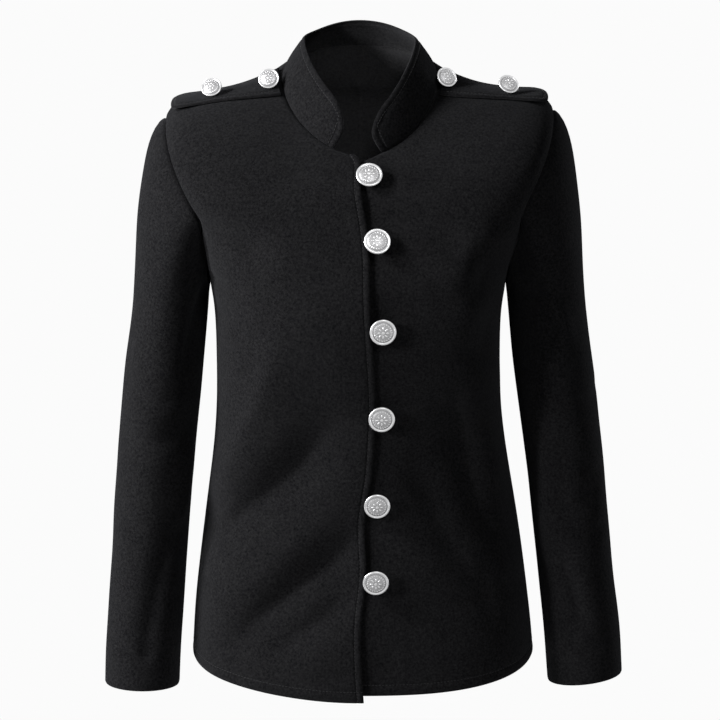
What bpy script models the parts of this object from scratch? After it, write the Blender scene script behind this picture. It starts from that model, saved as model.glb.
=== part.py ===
"""Stand-collar blazer, worn and buttoned, as the separate pieces that are cut and sewn together.

Frame: metres, +Z up, the front faces -Y and the wearer's left is +X. The origin lies midway between
the two high shoulder points, where the shoulder seams meet the collar. Every cloth piece is a wall
whose outer skin lies on one smooth garment surface, so neighbours meet at their seams.
"""
import math

import bmesh
import bpy
import numpy as np
from mathutils import Matrix, Vector

MM = 0.001
WALL = 2.0 * MM            # cloth with its seam and hem allowances
SEAM = 0.3 * MM            # clearance between two pieces at a seam
LAP = 3.3 * MM             # how far the right front lies outside the left front at the overlap
LAP_BLEND = 110.0 * MM     # width over which the right front rises to that
LAP_BLEND_NECK = 45.0 * MM   # the same by the neck
LAP_WIDE, LAP_NARROW = 6.0, 8.0        # ring numbers up to which and from which each width holds
FOLD_ROUND = 4.0           # how softly a fold turns at its line, mm
FOLD_BEYOND = 0.2          # how far a fold runs on past its ends, as a share of its length
FOLD_FADE = 0.5            # share of its length over which it fades at each end
FOLD_FROM_SIDE = 8.0       # a fold sets in this far in front of or behind the side, mm
FOLD_SIDE_EASE = 45.0      # and over this depth, mm
UNDERLAP = 22.0 * MM       # how far the left front runs on beneath the right front
LAP_MARGIN = 5.0 * MM      # how much further the right front is fully raised
HEM_STEP = 3.0 * MM        # the right front hangs this much lower at the centre, the left front higher
NECK_DIP_FROM = 21.0       # where the left front's neckline starts to dip towards its free edge, mm
NECK_DIP = 0.0135          # how much it dips, in rings for each mm
NECK_DIP_EASE = 6.0        # mm over which the dip sets in
NECK_DIP_RING = 8.0        # ring number from which the rows follow the dip
NECK, TIP, UNDERARM = 9.0, 7.0, 5.0    # ring numbers of the neck seam, shoulder tips and underarms
ARMHOLE_FRONT = math.radians(24.0)     # half width of the armhole, as an angle round the ring
ARMHOLE_SCOOP = math.radians(14.0)     # how much further the front of the armhole is cut out high up
ARMHOLE_BACK = math.radians(24.0)

# Rings round the torso from hem to neck, mm. A ring passes through its side, front and back points.
# "lean" is its rise from the side towards the back, "square" the fullness of its corners and
# "roll" its rise from the wearer's right side to the left.
RINGS = (
    # z_side, z_front, z_back, half, shift, y_side, y_front, y_back, lean, square, roll
    (-564.0, -586.0, -571.0, 168.8, 2.6, 3.0, -113.0, 115.0, 0.0, 0.20, 1.5),     # 0 hem
    (-490.0, -504.0, -494.0, 162.3, 1.6, 3.0, -109.0, 114.0, 0.0, 0.24, 1.5),     # 1 hip
    (-410.0, -420.0, -413.0, 151.2, 1.0, 3.0, -104.0, 101.0, 0.0, 0.30, 1.5),     # 2 below the waist
    (-330.0, -340.0, -332.0, 140.0, -0.7, 2.0, -107.0, 88.0, 0.0, 0.34, 1.5),     # 3 waist
    (-262.0, -277.0, -264.0, 138.4, -1.9, 1.0, -119.0, 93.0, 0.0, 0.32, 1.5),     # 4 ribs
    (-196.0, -216.0, -200.0, 143.3, -2.0, 0.0, -127.0, 103.0, 2.0, 0.24, 2.0),    # 5 bust and underarm
    (-115.0, -172.0, -112.0, 171.0, -1.0, 2.0, -121.0, 106.0, 12.0, 0.25, 5.0),   # 6 across the chest
    (-35.0, -124.0, -34.0, 188.2, -0.5, 4.0, -107.0, 92.0, 24.0, 0.25, 7.7),      # 7 shoulder tips
    (-13.0, -93.0, -8.0, 132.0, 0.0, 2.0, -92.0, 76.0, 12.0, 0.12, 2.0),          # 8 mid shoulder
    (0.0, -70.5, 31.0, 76.0, 0.0, 0.0, -77.0, 60.0, 46.0, 0.00, 0.0),             # 9 neck seam
)

# The free edge of the right front: ring number and distance from the middle of the garment, mm.
FRONT_EDGE = (
    # ring, x
    (0.0, 3.7), (0.5, 1.0), (1.0, 2.0), (1.5, 6.0), (2.0, 4.5), (2.5, 10.4), (3.0, 13.6), (3.5, 14.9),
    (4.0, 14.0), (5.0, 10.0), (6.5, 7.8), (7.0, 4.5), (7.6, 1.0), (8.4, 1.2), (8.75, 0.0), (9.0, -4.0),
)

# Where the overlap gapes between two buttons: ring number, half length in rings and rise, mm.
GAPES = (
    # ring, reach, rise
    (7.4, 0.7, 1.6),
    (5.0, 0.8, 2.0),
    (2.9, 0.5, 1.0),
    (1.85, 0.5, 1.6),
    (0.2, 0.7, 2.2),
)

# Main folds of the torso in the front view, mm: start, middle and end of the fold's line, depth (a trough
# is negative) and how far it reaches up or to the right side, and the other way. "face" is -1 for the
# front and +1 for the back.
TORSO_FOLDS = (
    # face, x0, z0, xm, zm, x1, z1, depth, reach_up, reach_down
    (-1, -160.0, -132.0, -126.0, -144.0, -83.0, -159.0, -5.5, 22.0, 56.0),    # from the right armhole to the bust
    (-1, -76.0, -243.0, -102.0, -318.0, -136.0, -396.0, 4.5, 20.0, 56.0),    # ridge over the right waist
    (-1, -29.0, -325.0, -88.0, -390.0, -160.0, -442.0, -8.5, 38.0, 60.0),    # long drag lines to the right side
    (-1, -4.0, -430.0, -60.0, -479.0, -130.0, -542.0, -9.0, 34.0, 60.0),
    (-1, -10.0, -488.0, -40.0, -512.0, -88.0, -544.0, -5.0, 24.0, 30.0),
    (-1, 96.0, -158.0, 98.0, -196.0, 94.0, -240.0, 4.0, 64.0, 34.0),    # the left breast
    (-1, 128.0, -138.0, 114.0, -147.0, 96.0, -160.0, 3.0, 36.0, 24.0),    # below the left armhole
    (-1, 124.0, -170.0, 114.0, -184.0, 102.0, -204.0, -3.5, 24.0, 30.0),
    (-1, 128.0, -212.0, 118.0, -239.0, 109.0, -271.0, -4.0, 34.0, 44.0),    # hollow beside the left waist
    (-1, 91.0, -296.0, 104.0, -364.0, 140.0, -446.0, -10.5, 58.0, 44.0),    # drag lines to the left side
    (-1, 34.0, -488.0, 84.0, -498.0, 146.0, -487.0, -3.0, 40.0, 50.0),
    (1, -135.0, -296.0, -88.0, -322.0, -36.0, -334.0, -4.5, 34.0, 44.0),    # the hollow of the back
    (1, 138.0, -304.0, 92.0, -334.0, 46.0, -346.0, -4.5, 40.0, 36.0),
    (1, -118.0, -368.0, -104.0, -420.0, -70.0, -474.0, 4.0, 36.0, 34.0),
    (1, 114.0, -376.0, 108.0, -440.0, 80.0, -506.0, 4.0, 38.0, 34.0),
    (1, -152.0, -146.0, -136.0, -186.0, -104.0, -222.0, -3.5, 26.0, 36.0),    # from the back armholes
    (1, 152.0, -142.0, 132.0, -178.0, 102.0, -212.0, -3.5, 28.0, 34.0),
)

# Cross-sections of the sleeves below the shoulder, mm. The arms hang a little forward of the side.
SLEEVE_SECTIONS = (
    # z, x_right, half_right, x_left, half_left, y, half_y
    (-222.0, 185.2, 37.2, 182.6, 38.2, -3.0, 54.0),
    (-262.0, 189.5, 37.9, 186.8, 38.6, -5.0, 52.0),
    (-310.0, 194.4, 38.4, 192.6, 38.7, -8.0, 49.5),
    (-357.0, 198.9, 38.1, 198.6, 38.2, -11.0, 47.0),
    (-404.0, 202.8, 37.5, 203.8, 37.4, -13.5, 45.0),
    (-452.0, 206.1, 37.1, 208.7, 37.3, -16.5, 43.0),
    (-499.0, 209.1, 37.0, 213.7, 37.3, -19.0, 41.0),
    (-547.0, 212.4, 36.8, 218.5, 37.2, -22.0, 39.5),
    (-592.0, 215.0, 37.0, 221.5, 36.6, -24.0, 39.0),
)
CAP_SPREAD = {-1: 0.78, 1: 0.45}             # how far the top of each sleeve cap runs outwards
CUFF_RISE = {-1: 1.0 * MM, 1: 4.8 * MM}      # how much the cuff is higher outside than at its middle
CUFF_LIFT = {-1: 0.0, 1: 7.0 * MM}           # the left cuff ends a little higher
CUFF_REACH = 70.0 * MM
SLEEVE_RADIUS = 46.0                         # of a sleeve, mm, to turn its angles into lengths

# Main folds of a sleeve: side, then angle round the sleeve in degrees (0 inside, 90 front, 180 outside,
# 270 back) and height, mm, at the start, middle and end of the fold's line; depth and reaches, mm.
SLEEVE_FOLDS = (
    # side, turn0, z0, turnm, zm, turn1, z1, depth, reach_up, reach_down
    (-1, 155.0, -343.0, 96.0, -347.0, 37.0, -340.0, -3.8, 30.0, 26.0),    # elbow
    (-1, 27.0, -357.0, 31.0, -388.0, 38.0, -427.0, 3.5, 26.0, 16.0),
    (-1, 50.0, -437.0, 73.0, -501.0, 84.0, -563.0, -3.0, 30.0, 20.0),
    (-1, 14.0, -178.0, 40.0, -226.0, 52.0, -290.0, -3.0, 16.0, 22.0),
    (-1, 190.0, -352.0, 228.0, -338.0, 268.0, -330.0, -3.0, 24.0, 26.0),
    (-1, 280.0, -372.0, 310.0, -386.0, 342.0, -405.0, -3.0, 24.0, 26.0),
    (1, 88.0, -202.0, 102.0, -222.0, 114.0, -248.0, 2.5, 14.0, 18.0),
    (1, 64.0, -413.0, 98.0, -409.0, 138.0, -394.0, -3.2, 24.0, 28.0),    # elbow
    (1, 96.0, -336.0, 80.0, -373.0, 72.0, -404.0, -2.0, 20.0, 18.0),
    (1, 58.0, -451.0, 76.0, -491.0, 88.0, -528.0, -3.4, 22.0, 20.0),
    (1, 200.0, -345.0, 238.0, -332.0, 276.0, -325.0, -3.0, 24.0, 26.0),
    (1, 284.0, -366.0, 312.0, -380.0, 340.0, -398.0, -3.0, 24.0, 26.0),
)

# The collar's width from neck seam to free edge, mm: angle from the centre back in degrees, then how
# far the free edge lies inwards of the seam, behind it, and above it on the right and the left side.
COLLAR_SECTIONS = (
    # around, inward, back, up_right, up_left
    (0.0, 0.0, -16.0, 24.5, 24.5),
    (45.0, 12.0, -13.0, 21.5, 21.5),
    (70.0, 20.0, -9.0, 28.5, 27.0),
    (90.0, 22.0, -6.0, 37.5, 36.0),
    (120.0, 20.5, -2.0, 42.0, 41.0),
    (138.0, 18.5, 0.0, 40.5, 38.0),
    (152.0, 15.0, 2.0, 39.0, 36.0),
    (166.0, 12.5, 3.0, 36.0, 33.0),
)
COLLAR_END = {-1: 160.5, 1: 164.0}           # degrees from the centre back to each front end
COLLAR_CORNER = 20.0 * MM                    # radius of the rounded front corners
COLLAR_NOSE = 3.5 * MM                       # how far the front ends swell forward
COLLAR_NOSE_REACH = 30.0 * MM                # from their ends backwards
COLLAR_BULGE = 1.5 * MM                      # how far its middle swells outwards
COLLAR_RADIUS = 75.0 * MM                    # of the neck, to turn its angles into lengths

STRAP_HALF = 21.5 * MM                       # half width of a shoulder strap
STRAP_INNER, STRAP_OUTER = 8.93, 7.26        # ring numbers of its ends
STRAP_LENGTH = 103.0 * MM                    # between those, over the shoulder
STRAP_ROUND = 16.0 * MM                      # length of its rounded outer end
STRAP_FREE = 0.72                            # share of its length from which it lifts off the shoulder
STRAP_STAND = 3.5 * MM                       # how far the free outer end stands off the shoulder
STRAP_WALL = 2.4 * MM
STRAP_CLEAR = 0.7 * MM                       # between the strap and the facets of the shoulder under it
STRAP_FORWARD = 4.0 * MM                     # its middle lies this far in front of the shoulder seam

FRONT_BUTTON = 12.5 * MM                     # radius
STRAP_BUTTON = 10.2 * MM
SHANK = 2.2 * MM
SHANK_CLEAR = 0.5 * MM                       # between the shank's foot and the cloth under it

# Front buttons: place in the front view, mm, upward tilt and turn to the left of each face, degrees,
# and how far its back stands off the cloth.
FRONT_BUTTONS = (
    # x, z, tilt, turn, stand
    (8.4, -91.0, 34.0, 2.0, 6.5),
    (15.6, -150.0, 25.0, 4.0, 6.5),
    (20.8, -229.0, -10.0, 4.0, 7.2),
    (19.9, -313.0, -12.0, 3.0, 7.2),
    (15.9, -397.0, -14.0, 2.0, 7.2),
    (14.7, -470.5, -14.0, 2.0, 7.2),
)

# Strap buttons: side, ring number, forward of the shoulder seam, upward tilt, turn outwards, standoff.
STRAP_BUTTONS = (
    ("right_outer", -1, 7.87, 7.0, 34.0, 12.0, 8.2),
    ("right_inner", -1, 8.80, 7.0, 24.0, 8.0, 7.4),
    ("left_inner", 1, 8.92, 7.0, 26.0, 24.0, 6.8),
    ("left_outer", 1, 7.88, 7.0, 34.0, 20.0, 8.4),
)

BODY_ROWS, ARM_ROWS, YOKE_ROWS = 19, 11, 8   # rows of a panel below, beside and above the armhole
FRONT_COLUMNS, BACK_COLUMNS = 12, 10
CAP_ROWS, SLEEVE_ROWS = 8, 20
COLLAR_COLUMNS, COLLAR_ROWS = 30, 4
STRAP_ROWS, STRAP_COLUMNS = 14, 6
BUTTON_STEPS = 18

CLOTH_BLACK = (0.012, 0.012, 0.014, 1.0)
SILVER = (0.62, 0.62, 0.63, 1.0)


def smooth(x):
    """Ease from 0 to 1, flat at both ends."""
    x = np.clip(x, 0.0, 1.0)
    return x * x * (3.0 - 2.0 * x)


def through(knots, values, t):
    """The natural cubic curve through the values at the knots, read at t."""
    knots, values, t = np.asarray(knots, float), np.asarray(values, float), np.asarray(t, float)
    span = np.diff(knots)
    slope = np.diff(values) / span
    system, load = np.eye(len(knots)), np.zeros(len(knots))
    for i in range(1, len(knots) - 1):
        system[i, i - 1:i + 2] = span[i - 1], 2.0 * (span[i - 1] + span[i]), span[i]
        load[i] = 6.0 * (slope[i] - slope[i - 1])
    bend = np.linalg.solve(system, load)
    i = np.clip(np.searchsorted(knots, t, side="right") - 1, 0, len(knots) - 2)
    a, b = (knots[i + 1] - t) / span[i], (t - knots[i]) / span[i]
    return (a * values[i] + b * values[i + 1]
            + ((a**3 - a) * bend[i] + (b**3 - b) * bend[i + 1]) * span[i]**2 / 6.0)


def unit(v):
    return v / np.maximum(np.linalg.norm(v, axis=-1, keepdims=True), 1e-12)


def dot(a, b):
    return np.sum(a * b, axis=-1, keepdims=True)


RING_KNOTS = np.arange(len(RINGS), dtype=float)
RING_COLUMNS = np.array(RINGS).T


def torso(theta, t):
    """A point of the plain torso surface: theta round the ring from the wearer's left, t its number."""
    z_side, z_front, z_back, half, shift, y_side, y_front, y_back, lean, square, roll = (
        through(RING_KNOTS, column, t) for column in RING_COLUMNS)
    c, s = np.cos(theta), np.sin(theta)
    across = half * c * (1.0 + square * s * s)
    depth, bias = (y_back - y_front) / 2.0, (y_back + y_front) / 2.0 - y_side
    bow = np.where(s < 0.0, z_front - z_side + lean, z_back - z_side - lean)
    x = shift + across
    y = y_side + depth * s * (1.0 + square * c * c) + bias * s * s
    z = z_side + lean * s + bow * s * s + roll * across / (2.0 * half)
    return np.stack([x, y, z], axis=-1) * MM


def torso_normal(theta, t):
    step = 1e-3
    round_it = torso(theta + step, t) - torso(theta - step, t)
    up_it = torso(theta, t + step) - torso(theta, t - step)
    return unit(np.cross(round_it, up_it))


def fold(px, pz, x0, z0, xm, zm, x1, z1, depth, reach_up, reach_down):
    """A fold along a bowed line, deepest at its middle and fading to its ends: a soft crest or valley
    whose two slopes reach out unequally far."""
    length = math.hypot(x1 - x0, z1 - z0)
    ux, uz = (x1 - x0) / length, (z1 - z0) / length
    along = ((px - x0) * ux + (pz - z0) * uz) / length
    bow = (xm - x0) * uz - (zm - z0) * ux
    inside = np.clip(along, -FOLD_BEYOND, 1.0 + FOLD_BEYOND)
    off = (px - x0) * uz - (pz - z0) * ux - bow * (1.0 - (2.0 * inside - 1.0) ** 2)
    upper = off if ux + uz < 0.0 else -off
    soft = np.sqrt(off**2 + FOLD_ROUND**2) - FOLD_ROUND
    slope = np.clip(1.0 - soft / np.where(upper > 0.0, reach_up, reach_down), 0.0, 1.0)
    starts, ends = along + FOLD_BEYOND, 1.0 + FOLD_BEYOND - along
    return depth * slope**2 * smooth(starts / FOLD_FADE) * smooth(ends / FOLD_FADE)


def torso_folds(p):
    px, py, pz = p[..., 0] / MM, p[..., 1] / MM, p[..., 2] / MM
    total = np.zeros_like(px)
    for face, *line in TORSO_FOLDS:
        total += smooth((face * py - FOLD_FROM_SIDE) / FOLD_SIDE_EASE) * fold(px, pz, *line)
    return total[..., None] * MM


def edge_x(t):
    knots, values = zip(*FRONT_EDGE)
    return through(knots, values, t) * MM


def lap(theta, t):
    """How far the right front is lifted at this place by the overlap."""
    x = torso(theta, t)[..., 0]
    rise = np.full_like(x, LAP)
    for ring, reach, extra in GAPES:
        rise = rise + extra * MM * smooth(1.0 - np.abs(t - ring) / reach)
    past = edge_x(t) - x - UNDERLAP - LAP_MARGIN
    blend = LAP_BLEND_NECK + (LAP_BLEND - LAP_BLEND_NECK) * smooth((LAP_NARROW - t) / (LAP_NARROW - LAP_WIDE))
    near = smooth(1.0 - past / blend) * (np.sin(theta) < 0.0)
    return (rise * near)[..., None]


def garment(theta, t, right=False):
    """Outer skin and outward direction of the torso pieces."""
    p, n = torso(theta, t), torso_normal(theta, t)
    lift = torso_folds(p)
    if right:
        lift = lift + lap(theta, t)
    return p + n * lift, n


def side_angle(side):
    return 0.0 if side > 0 else math.pi


def armhole_loop(turn, side):
    """Ring angle and ring number on the armhole: turn 0 underarm, 90 front, 180 shoulder, 270 back."""
    turn = np.asarray(turn, float)
    t = (TIP + UNDERARM) / 2.0 - (TIP - UNDERARM) / 2.0 * np.cos(turn)
    high = smooth((turn - math.radians(60.0)) / math.radians(50.0))
    reach = np.where(np.sin(turn) > 0.0, ARMHOLE_FRONT + ARMHOLE_SCOOP * high, ARMHOLE_BACK)
    return side_angle(side) - side * reach * np.sin(turn), t


def sleeve_ring(turn, z, side):
    """A point of the sleeve tube at height z (mm), with the same turn as the armhole."""
    table = np.array(SLEEVE_SECTIONS)[::-1].T
    names = ("z", "x_right", "half_right", "x_left", "half_left", "y", "half_y")
    k = {name: through(table[0], column, z) for name, column in zip(names, table)}
    middle, half = (k["x_left"], k["half_left"]) if side > 0 else (k["x_right"], k["half_right"])
    x = side * (middle - half * np.cos(turn))
    y = k["y"] - k["half_y"] * np.sin(turn)
    cuff = SLEEVE_SECTIONS[-1][0]
    near = smooth(1.0 - (z - cuff) * MM / CUFF_REACH)
    down = (SLEEVE_SECTIONS[0][0] - z) / (SLEEVE_SECTIONS[0][0] - cuff)
    height = z * MM + CUFF_LIFT[side] * down**2 - near * CUFF_RISE[side] * np.cos(turn)
    return np.stack([x * MM, y * MM, height], axis=-1)


def sleeve(turn, v, side):
    """The sleeve's outer skin before folds: v runs from 0 at the armhole over 1 at the biceps to 2."""
    turn, v = np.asarray(turn, float), np.asarray(v, float)
    top_z, cuff_z = SLEEVE_SECTIONS[0][0], SLEEVE_SECTIONS[-1][0]
    theta, t = armhole_loop(turn, side)
    start, _ = garment(theta, t)
    end = sleeve_ring(turn, np.full_like(v, top_z), side)
    high = (1.0 - np.cos(turn)) / 2.0
    leave = np.stack([side * (0.30 + CAP_SPREAD[side] * high), 0.0 * high, -1.0 + 0.62 * high], axis=-1)
    leave = unit(leave) * (20.0 + 72.0 * high)[..., None] * MM
    arrive = unit(sleeve_ring(turn, np.full_like(v, top_z - 5.0), side) - end)
    arrive = arrive * (26.0 + 130.0 * high)[..., None] * MM
    u = np.clip(v, 0.0, 1.0)[..., None]
    cap = ((2 * u**3 - 3 * u**2 + 1) * start + (u**3 - 2 * u**2 + u) * leave
           + (3 * u**2 - 2 * u**3) * end + (u**3 - u**2) * arrive)
    below = np.clip(v - 1.0, 0.0, 1.0)
    tube = sleeve_ring(turn, top_z + (cuff_z - top_z) * below, side)
    return np.where(v[..., None] <= 1.0, cap, tube)


def sleeve_normal(turn, v, side):
    step = 2e-3
    ahead, behind = np.minimum(v + step, 2.0), np.maximum(v - step, 0.0)
    round_it = sleeve(turn + step, v, side) - sleeve(turn - step, v, side)
    down_it = sleeve(turn, ahead, side) - sleeve(turn, behind, side)
    return unit(np.cross(round_it, down_it)) * -side


def sleeve_folds(around, p, side):
    """The folds of a sleeve, with its girth laid out flat so that they keep their width."""
    degrees = np.degrees(around) % 360.0
    total = np.zeros_like(degrees)
    for fold_side, turn0, z0, turnm, zm, turn1, z1, *shape in SLEEVE_FOLDS:
        if fold_side != side:
            continue
        near = (degrees - turnm + 180.0) % 360.0 - 180.0
        start, end = (side * math.radians(turn - turnm) * SLEEVE_RADIUS for turn in (turn0, turn1))
        place = side * np.radians(near) * SLEEVE_RADIUS
        total += fold(place, p[..., 2] / MM, start, z0, 0.0, zm, end, z1, *shape)
    return total[..., None] * MM


def collar(around, h):
    """The collar's outer skin: around is the angle from the centre back, h runs from seam to edge."""
    around, h = np.asarray(around, float), np.asarray(h, float)
    theta, t = math.pi / 2.0 - around, np.full_like(around, NECK)
    base = np.where(around[..., None] < 0.0, garment(theta, t, right=True)[0], garment(theta, t)[0])
    table = np.array(COLLAR_SECTIONS).T
    knots = np.concatenate([-table[0, :0:-1], table[0]])
    inward, back, up_right, up_left = (
        through(knots, np.concatenate([column[:0:-1], column]), np.degrees(around)) for column in table[1:])
    up = np.where(around < 0.0, up_right, up_left)
    x = -np.sign(around) * inward * smooth(np.abs(around) / 0.05)
    rise = np.stack([x, back, up], axis=-1) * MM
    swell = COLLAR_BULGE * (4.0 * h * (1.0 - h))[..., None]
    outward = np.stack([np.sin(around), np.cos(around), 0.0 * around], axis=-1)
    return base + rise * h[..., None] + outward * swell


def collar_normal(around, h):
    step = 2e-3
    round_it = collar(around + step, h) - collar(around - step, h)
    up_it = collar(around, h + step) - collar(around, h - step)
    return unit(np.cross(up_it, round_it))


def seam_shift(own, other, away):
    """Shifts at a seam: of the outer skin, and of the inner skin beyond it, so that two rims stay
    parallel. away points in the piece's own surface towards its neighbour."""
    cosine = np.clip(dot(own, other), -1.0, 1.0)
    half = np.arccos(cosine) / 2.0
    outer = -(SEAM / 2.0) * (away * np.cos(half) + own * np.sin(half))
    inner = -WALL * own + WALL * np.minimum(np.tan(np.minimum(half, 1.3)), 1.0) * away
    return outer, inner


def wall(name, columns, rows, place, closed=False):
    """A cut piece: a grid bent to place(u, v), which gives its outer and its inner points."""
    bm = bmesh.new()
    bmesh.ops.create_grid(bm, x_segments=columns, y_segments=rows, size=0.5)
    for v in bm.verts:
        v.co += Vector((0.5, 0.5, 0.0))
    if closed:
        for v in bm.verts:
            turn = 2.0 * math.pi * v.co.x
            v.co = (math.cos(turn), math.sin(turn), v.co.y)
        bmesh.ops.remove_doubles(bm, verts=bm.verts, dist=1e-5)
    made = bmesh.ops.extrude_face_region(bm, geom=bm.faces[:], use_keep_orig=True)
    inner = {v for v in made["geom"] if isinstance(v, bmesh.types.BMVert)}
    bm.verts.ensure_lookup_table()
    grid = np.array([v.co for v in bm.verts])
    if closed:
        u = (np.arctan2(grid[:, 1], grid[:, 0]) / (2.0 * math.pi)) % 1.0
        u, v = np.round(u * columns) / columns % 1.0, grid[:, 2]
    else:
        u, v = grid[:, 0], grid[:, 1]
    v = np.round(v * rows) / rows
    outside, inside = place(u, v)
    for vert, out_point, in_point in zip(bm.verts, outside, inside):
        vert.co = in_point if vert in inner else out_point
    return finish(name, bm, CLOTH_BLACK, 0.85, 0.0)


def finish(name, bm, colour, roughness, metallic):
    bmesh.ops.recalc_face_normals(bm, faces=bm.faces)
    if bm.calc_volume(signed=True) < 0.0:
        bmesh.ops.reverse_faces(bm, faces=bm.faces)
    mesh = bpy.data.meshes.new(name)
    bm.to_mesh(mesh)
    bm.free()
    mesh.shade_smooth()
    mesh.set_sharp_from_angle(angle=math.radians(35.0))
    material = bpy.data.materials.new(name)
    material.use_nodes = True
    shader = material.node_tree.nodes["Principled BSDF"]
    shader.inputs["Base Color"].default_value = colour
    shader.inputs["Roughness"].default_value = roughness
    shader.inputs["Metallic"].default_value = metallic
    mesh.materials.append(material)
    thing = bpy.data.objects.new(name, mesh)
    bpy.context.scene.collection.objects.link(thing)
    return thing


def panel_rings():
    """Ring numbers of a panel's rows: even below the armhole, round beside it, even to the neck."""
    below = np.linspace(0.0, UNDERARM, BODY_ROWS + 1)[:-1]
    turns = np.linspace(0.0, math.pi, ARM_ROWS + 1)
    beside = (TIP + UNDERARM) / 2.0 - (TIP - UNDERARM) / 2.0 * np.cos(turns)
    above = np.linspace(TIP, NECK, YOKE_ROWS + 1)[1:]
    return np.concatenate([below, beside, above])


def panel_turn(t):
    """The turn of the armhole at a ring number, 0 or 180 degrees outside the armhole."""
    middle, reach = (TIP + UNDERARM) / 2.0, (TIP - UNDERARM) / 2.0
    return np.arccos(np.clip((middle - t) / reach, -1.0, 1.0))


def dipped(theta, t):
    """The left front's own ring angle and number: its neckline falls away towards its free edge."""
    past = np.clip(NECK_DIP_FROM - torso(theta, t)[..., 0] / MM, 0.0, None)
    ring = t - NECK_DIP * past**2 / (past + NECK_DIP_EASE) * smooth(t - NECK_DIP_RING)
    lower, upper = (through(RING_KNOTS, RING_COLUMNS[3], at) for at in (ring, t))
    return -np.arccos(np.clip(np.cos(theta) * upper / lower, -1.0, 1.0)), ring


def make_panel(name, side, front):
    """A front or a back: u runs from the side to the centre, v from the hem to the neck."""
    rings = panel_rings()
    columns = FRONT_COLUMNS if front else BACK_COLUMNS
    right_front = front and side < 0
    turn_sign = 1.0 if front else -1.0

    def outer_angle(t):
        return armhole_loop(turn_sign * panel_turn(t), side)[0]

    def centre_angle(t):
        if not front:
            return np.full_like(t, math.pi / 2.0)
        half, shift, square = (through(RING_KNOTS, RING_COLUMNS[i], t) for i in (3, 4, 9))
        x = edge_x(t) / MM - (0.0 if side < 0 else UNDERLAP / MM)
        lean = np.arcsin((x - shift) / (half * (1.0 + square)))
        return -math.pi / 2.0 + lean if side > 0 else 3.0 * math.pi / 2.0 + lean

    def place(u, v):
        t = rings[np.round(v * (len(rings) - 1)).astype(int)]
        start, end = outer_angle(t), centre_angle(t)
        theta = start + (end - start) * u
        ring = t
        if front and side > 0:
            theta, ring = dipped(theta, t)
        point, normal = garment(theta, ring, right=right_front)
        if front:
            near = np.exp(-(point[:, 0] / (80.0 * MM)) ** 2) * smooth(1.0 - t)
            point[:, 2] += side * HEM_STEP * near
        shift, inside = np.zeros_like(point), -WALL * normal
        step = 1e-3
        to_side = unit(garment(theta - (end - start) * step, ring, right=right_front)[0] - point)
        at_side = u < 1e-6
        beside = at_side & (t >= UNDERARM - 1e-6) & (t <= TIP + 1e-6)
        plain = at_side & ((t <= UNDERARM + 1e-6) | (t >= TIP - 1e-6))
        shift[plain] -= SEAM / 2.0 * to_side[plain]
        if not front:
            centre = u > 1.0 - 1e-6
            shift[centre] += SEAM / 2.0 * to_side[centre]
        if beside.any():
            turn = turn_sign * panel_turn(t[beside])
            ahead, behind = (garment(*armhole_loop(turn + d, side))[0] for d in (step, -step))
            along = unit(ahead - behind)
            away = unit(np.cross(along, normal[beside]) * side)
            other = sleeve_normal(turn, np.full_like(turn, 0.02), side)
            outer, inner = seam_shift(normal[beside], other, away)
            shift[beside] += outer
            inside[beside] = inner
        neck = t >= NECK - 1e-6
        if neck.any():
            around = math.pi / 2.0 - theta[neck]
            around = (around + math.pi) % (2.0 * math.pi) - math.pi
            along = collar(around + step, 0.0 * around) - collar(around - step, 0.0 * around)
            up = unit(np.cross(along, normal[neck]))
            covered = np.abs(around) <= math.radians(COLLAR_END[side]) + 1e-6
            other = collar_normal(around, np.full_like(around, 0.02))
            outer, inner = seam_shift(normal[neck], other, up)
            shift[neck] += np.where(covered[:, None], outer, 0.0)
            inside[neck] = np.where(covered[:, None], inner, inside[neck])
        return point + shift, point + shift + inside

    return wall(name, columns, len(rings) - 1, place)


def make_sleeve(name, side):
    total = CAP_ROWS + SLEEVE_ROWS

    def place(u, v):
        turn = 2.0 * math.pi * u
        row = np.round(v * total)
        depth = np.where(row <= CAP_ROWS, row / CAP_ROWS, 1.0 + (row - CAP_ROWS) / SLEEVE_ROWS)
        point = sleeve(turn, depth, side)
        normal = sleeve_normal(turn, depth, side)
        point = point + normal * sleeve_folds(turn, point, side)
        shift, inside = np.zeros_like(point), -WALL * normal
        seam = row < 0.5
        theta, t = armhole_loop(turn[seam], side)
        other = torso_normal(theta, t)
        own = sleeve_normal(turn[seam], np.full(seam.sum(), 0.02), side)
        step = 1e-3
        along = unit(garment(*armhole_loop(turn[seam] + step, side))[0]
                     - garment(*armhole_loop(turn[seam] - step, side))[0])
        away = unit(np.cross(along, own) * -side)
        shift[seam], inside[seam] = seam_shift(own, other, away)
        return point + shift, point + shift + inside

    return wall(name, 2 * ARM_ROWS, total, place, closed=True)


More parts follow.
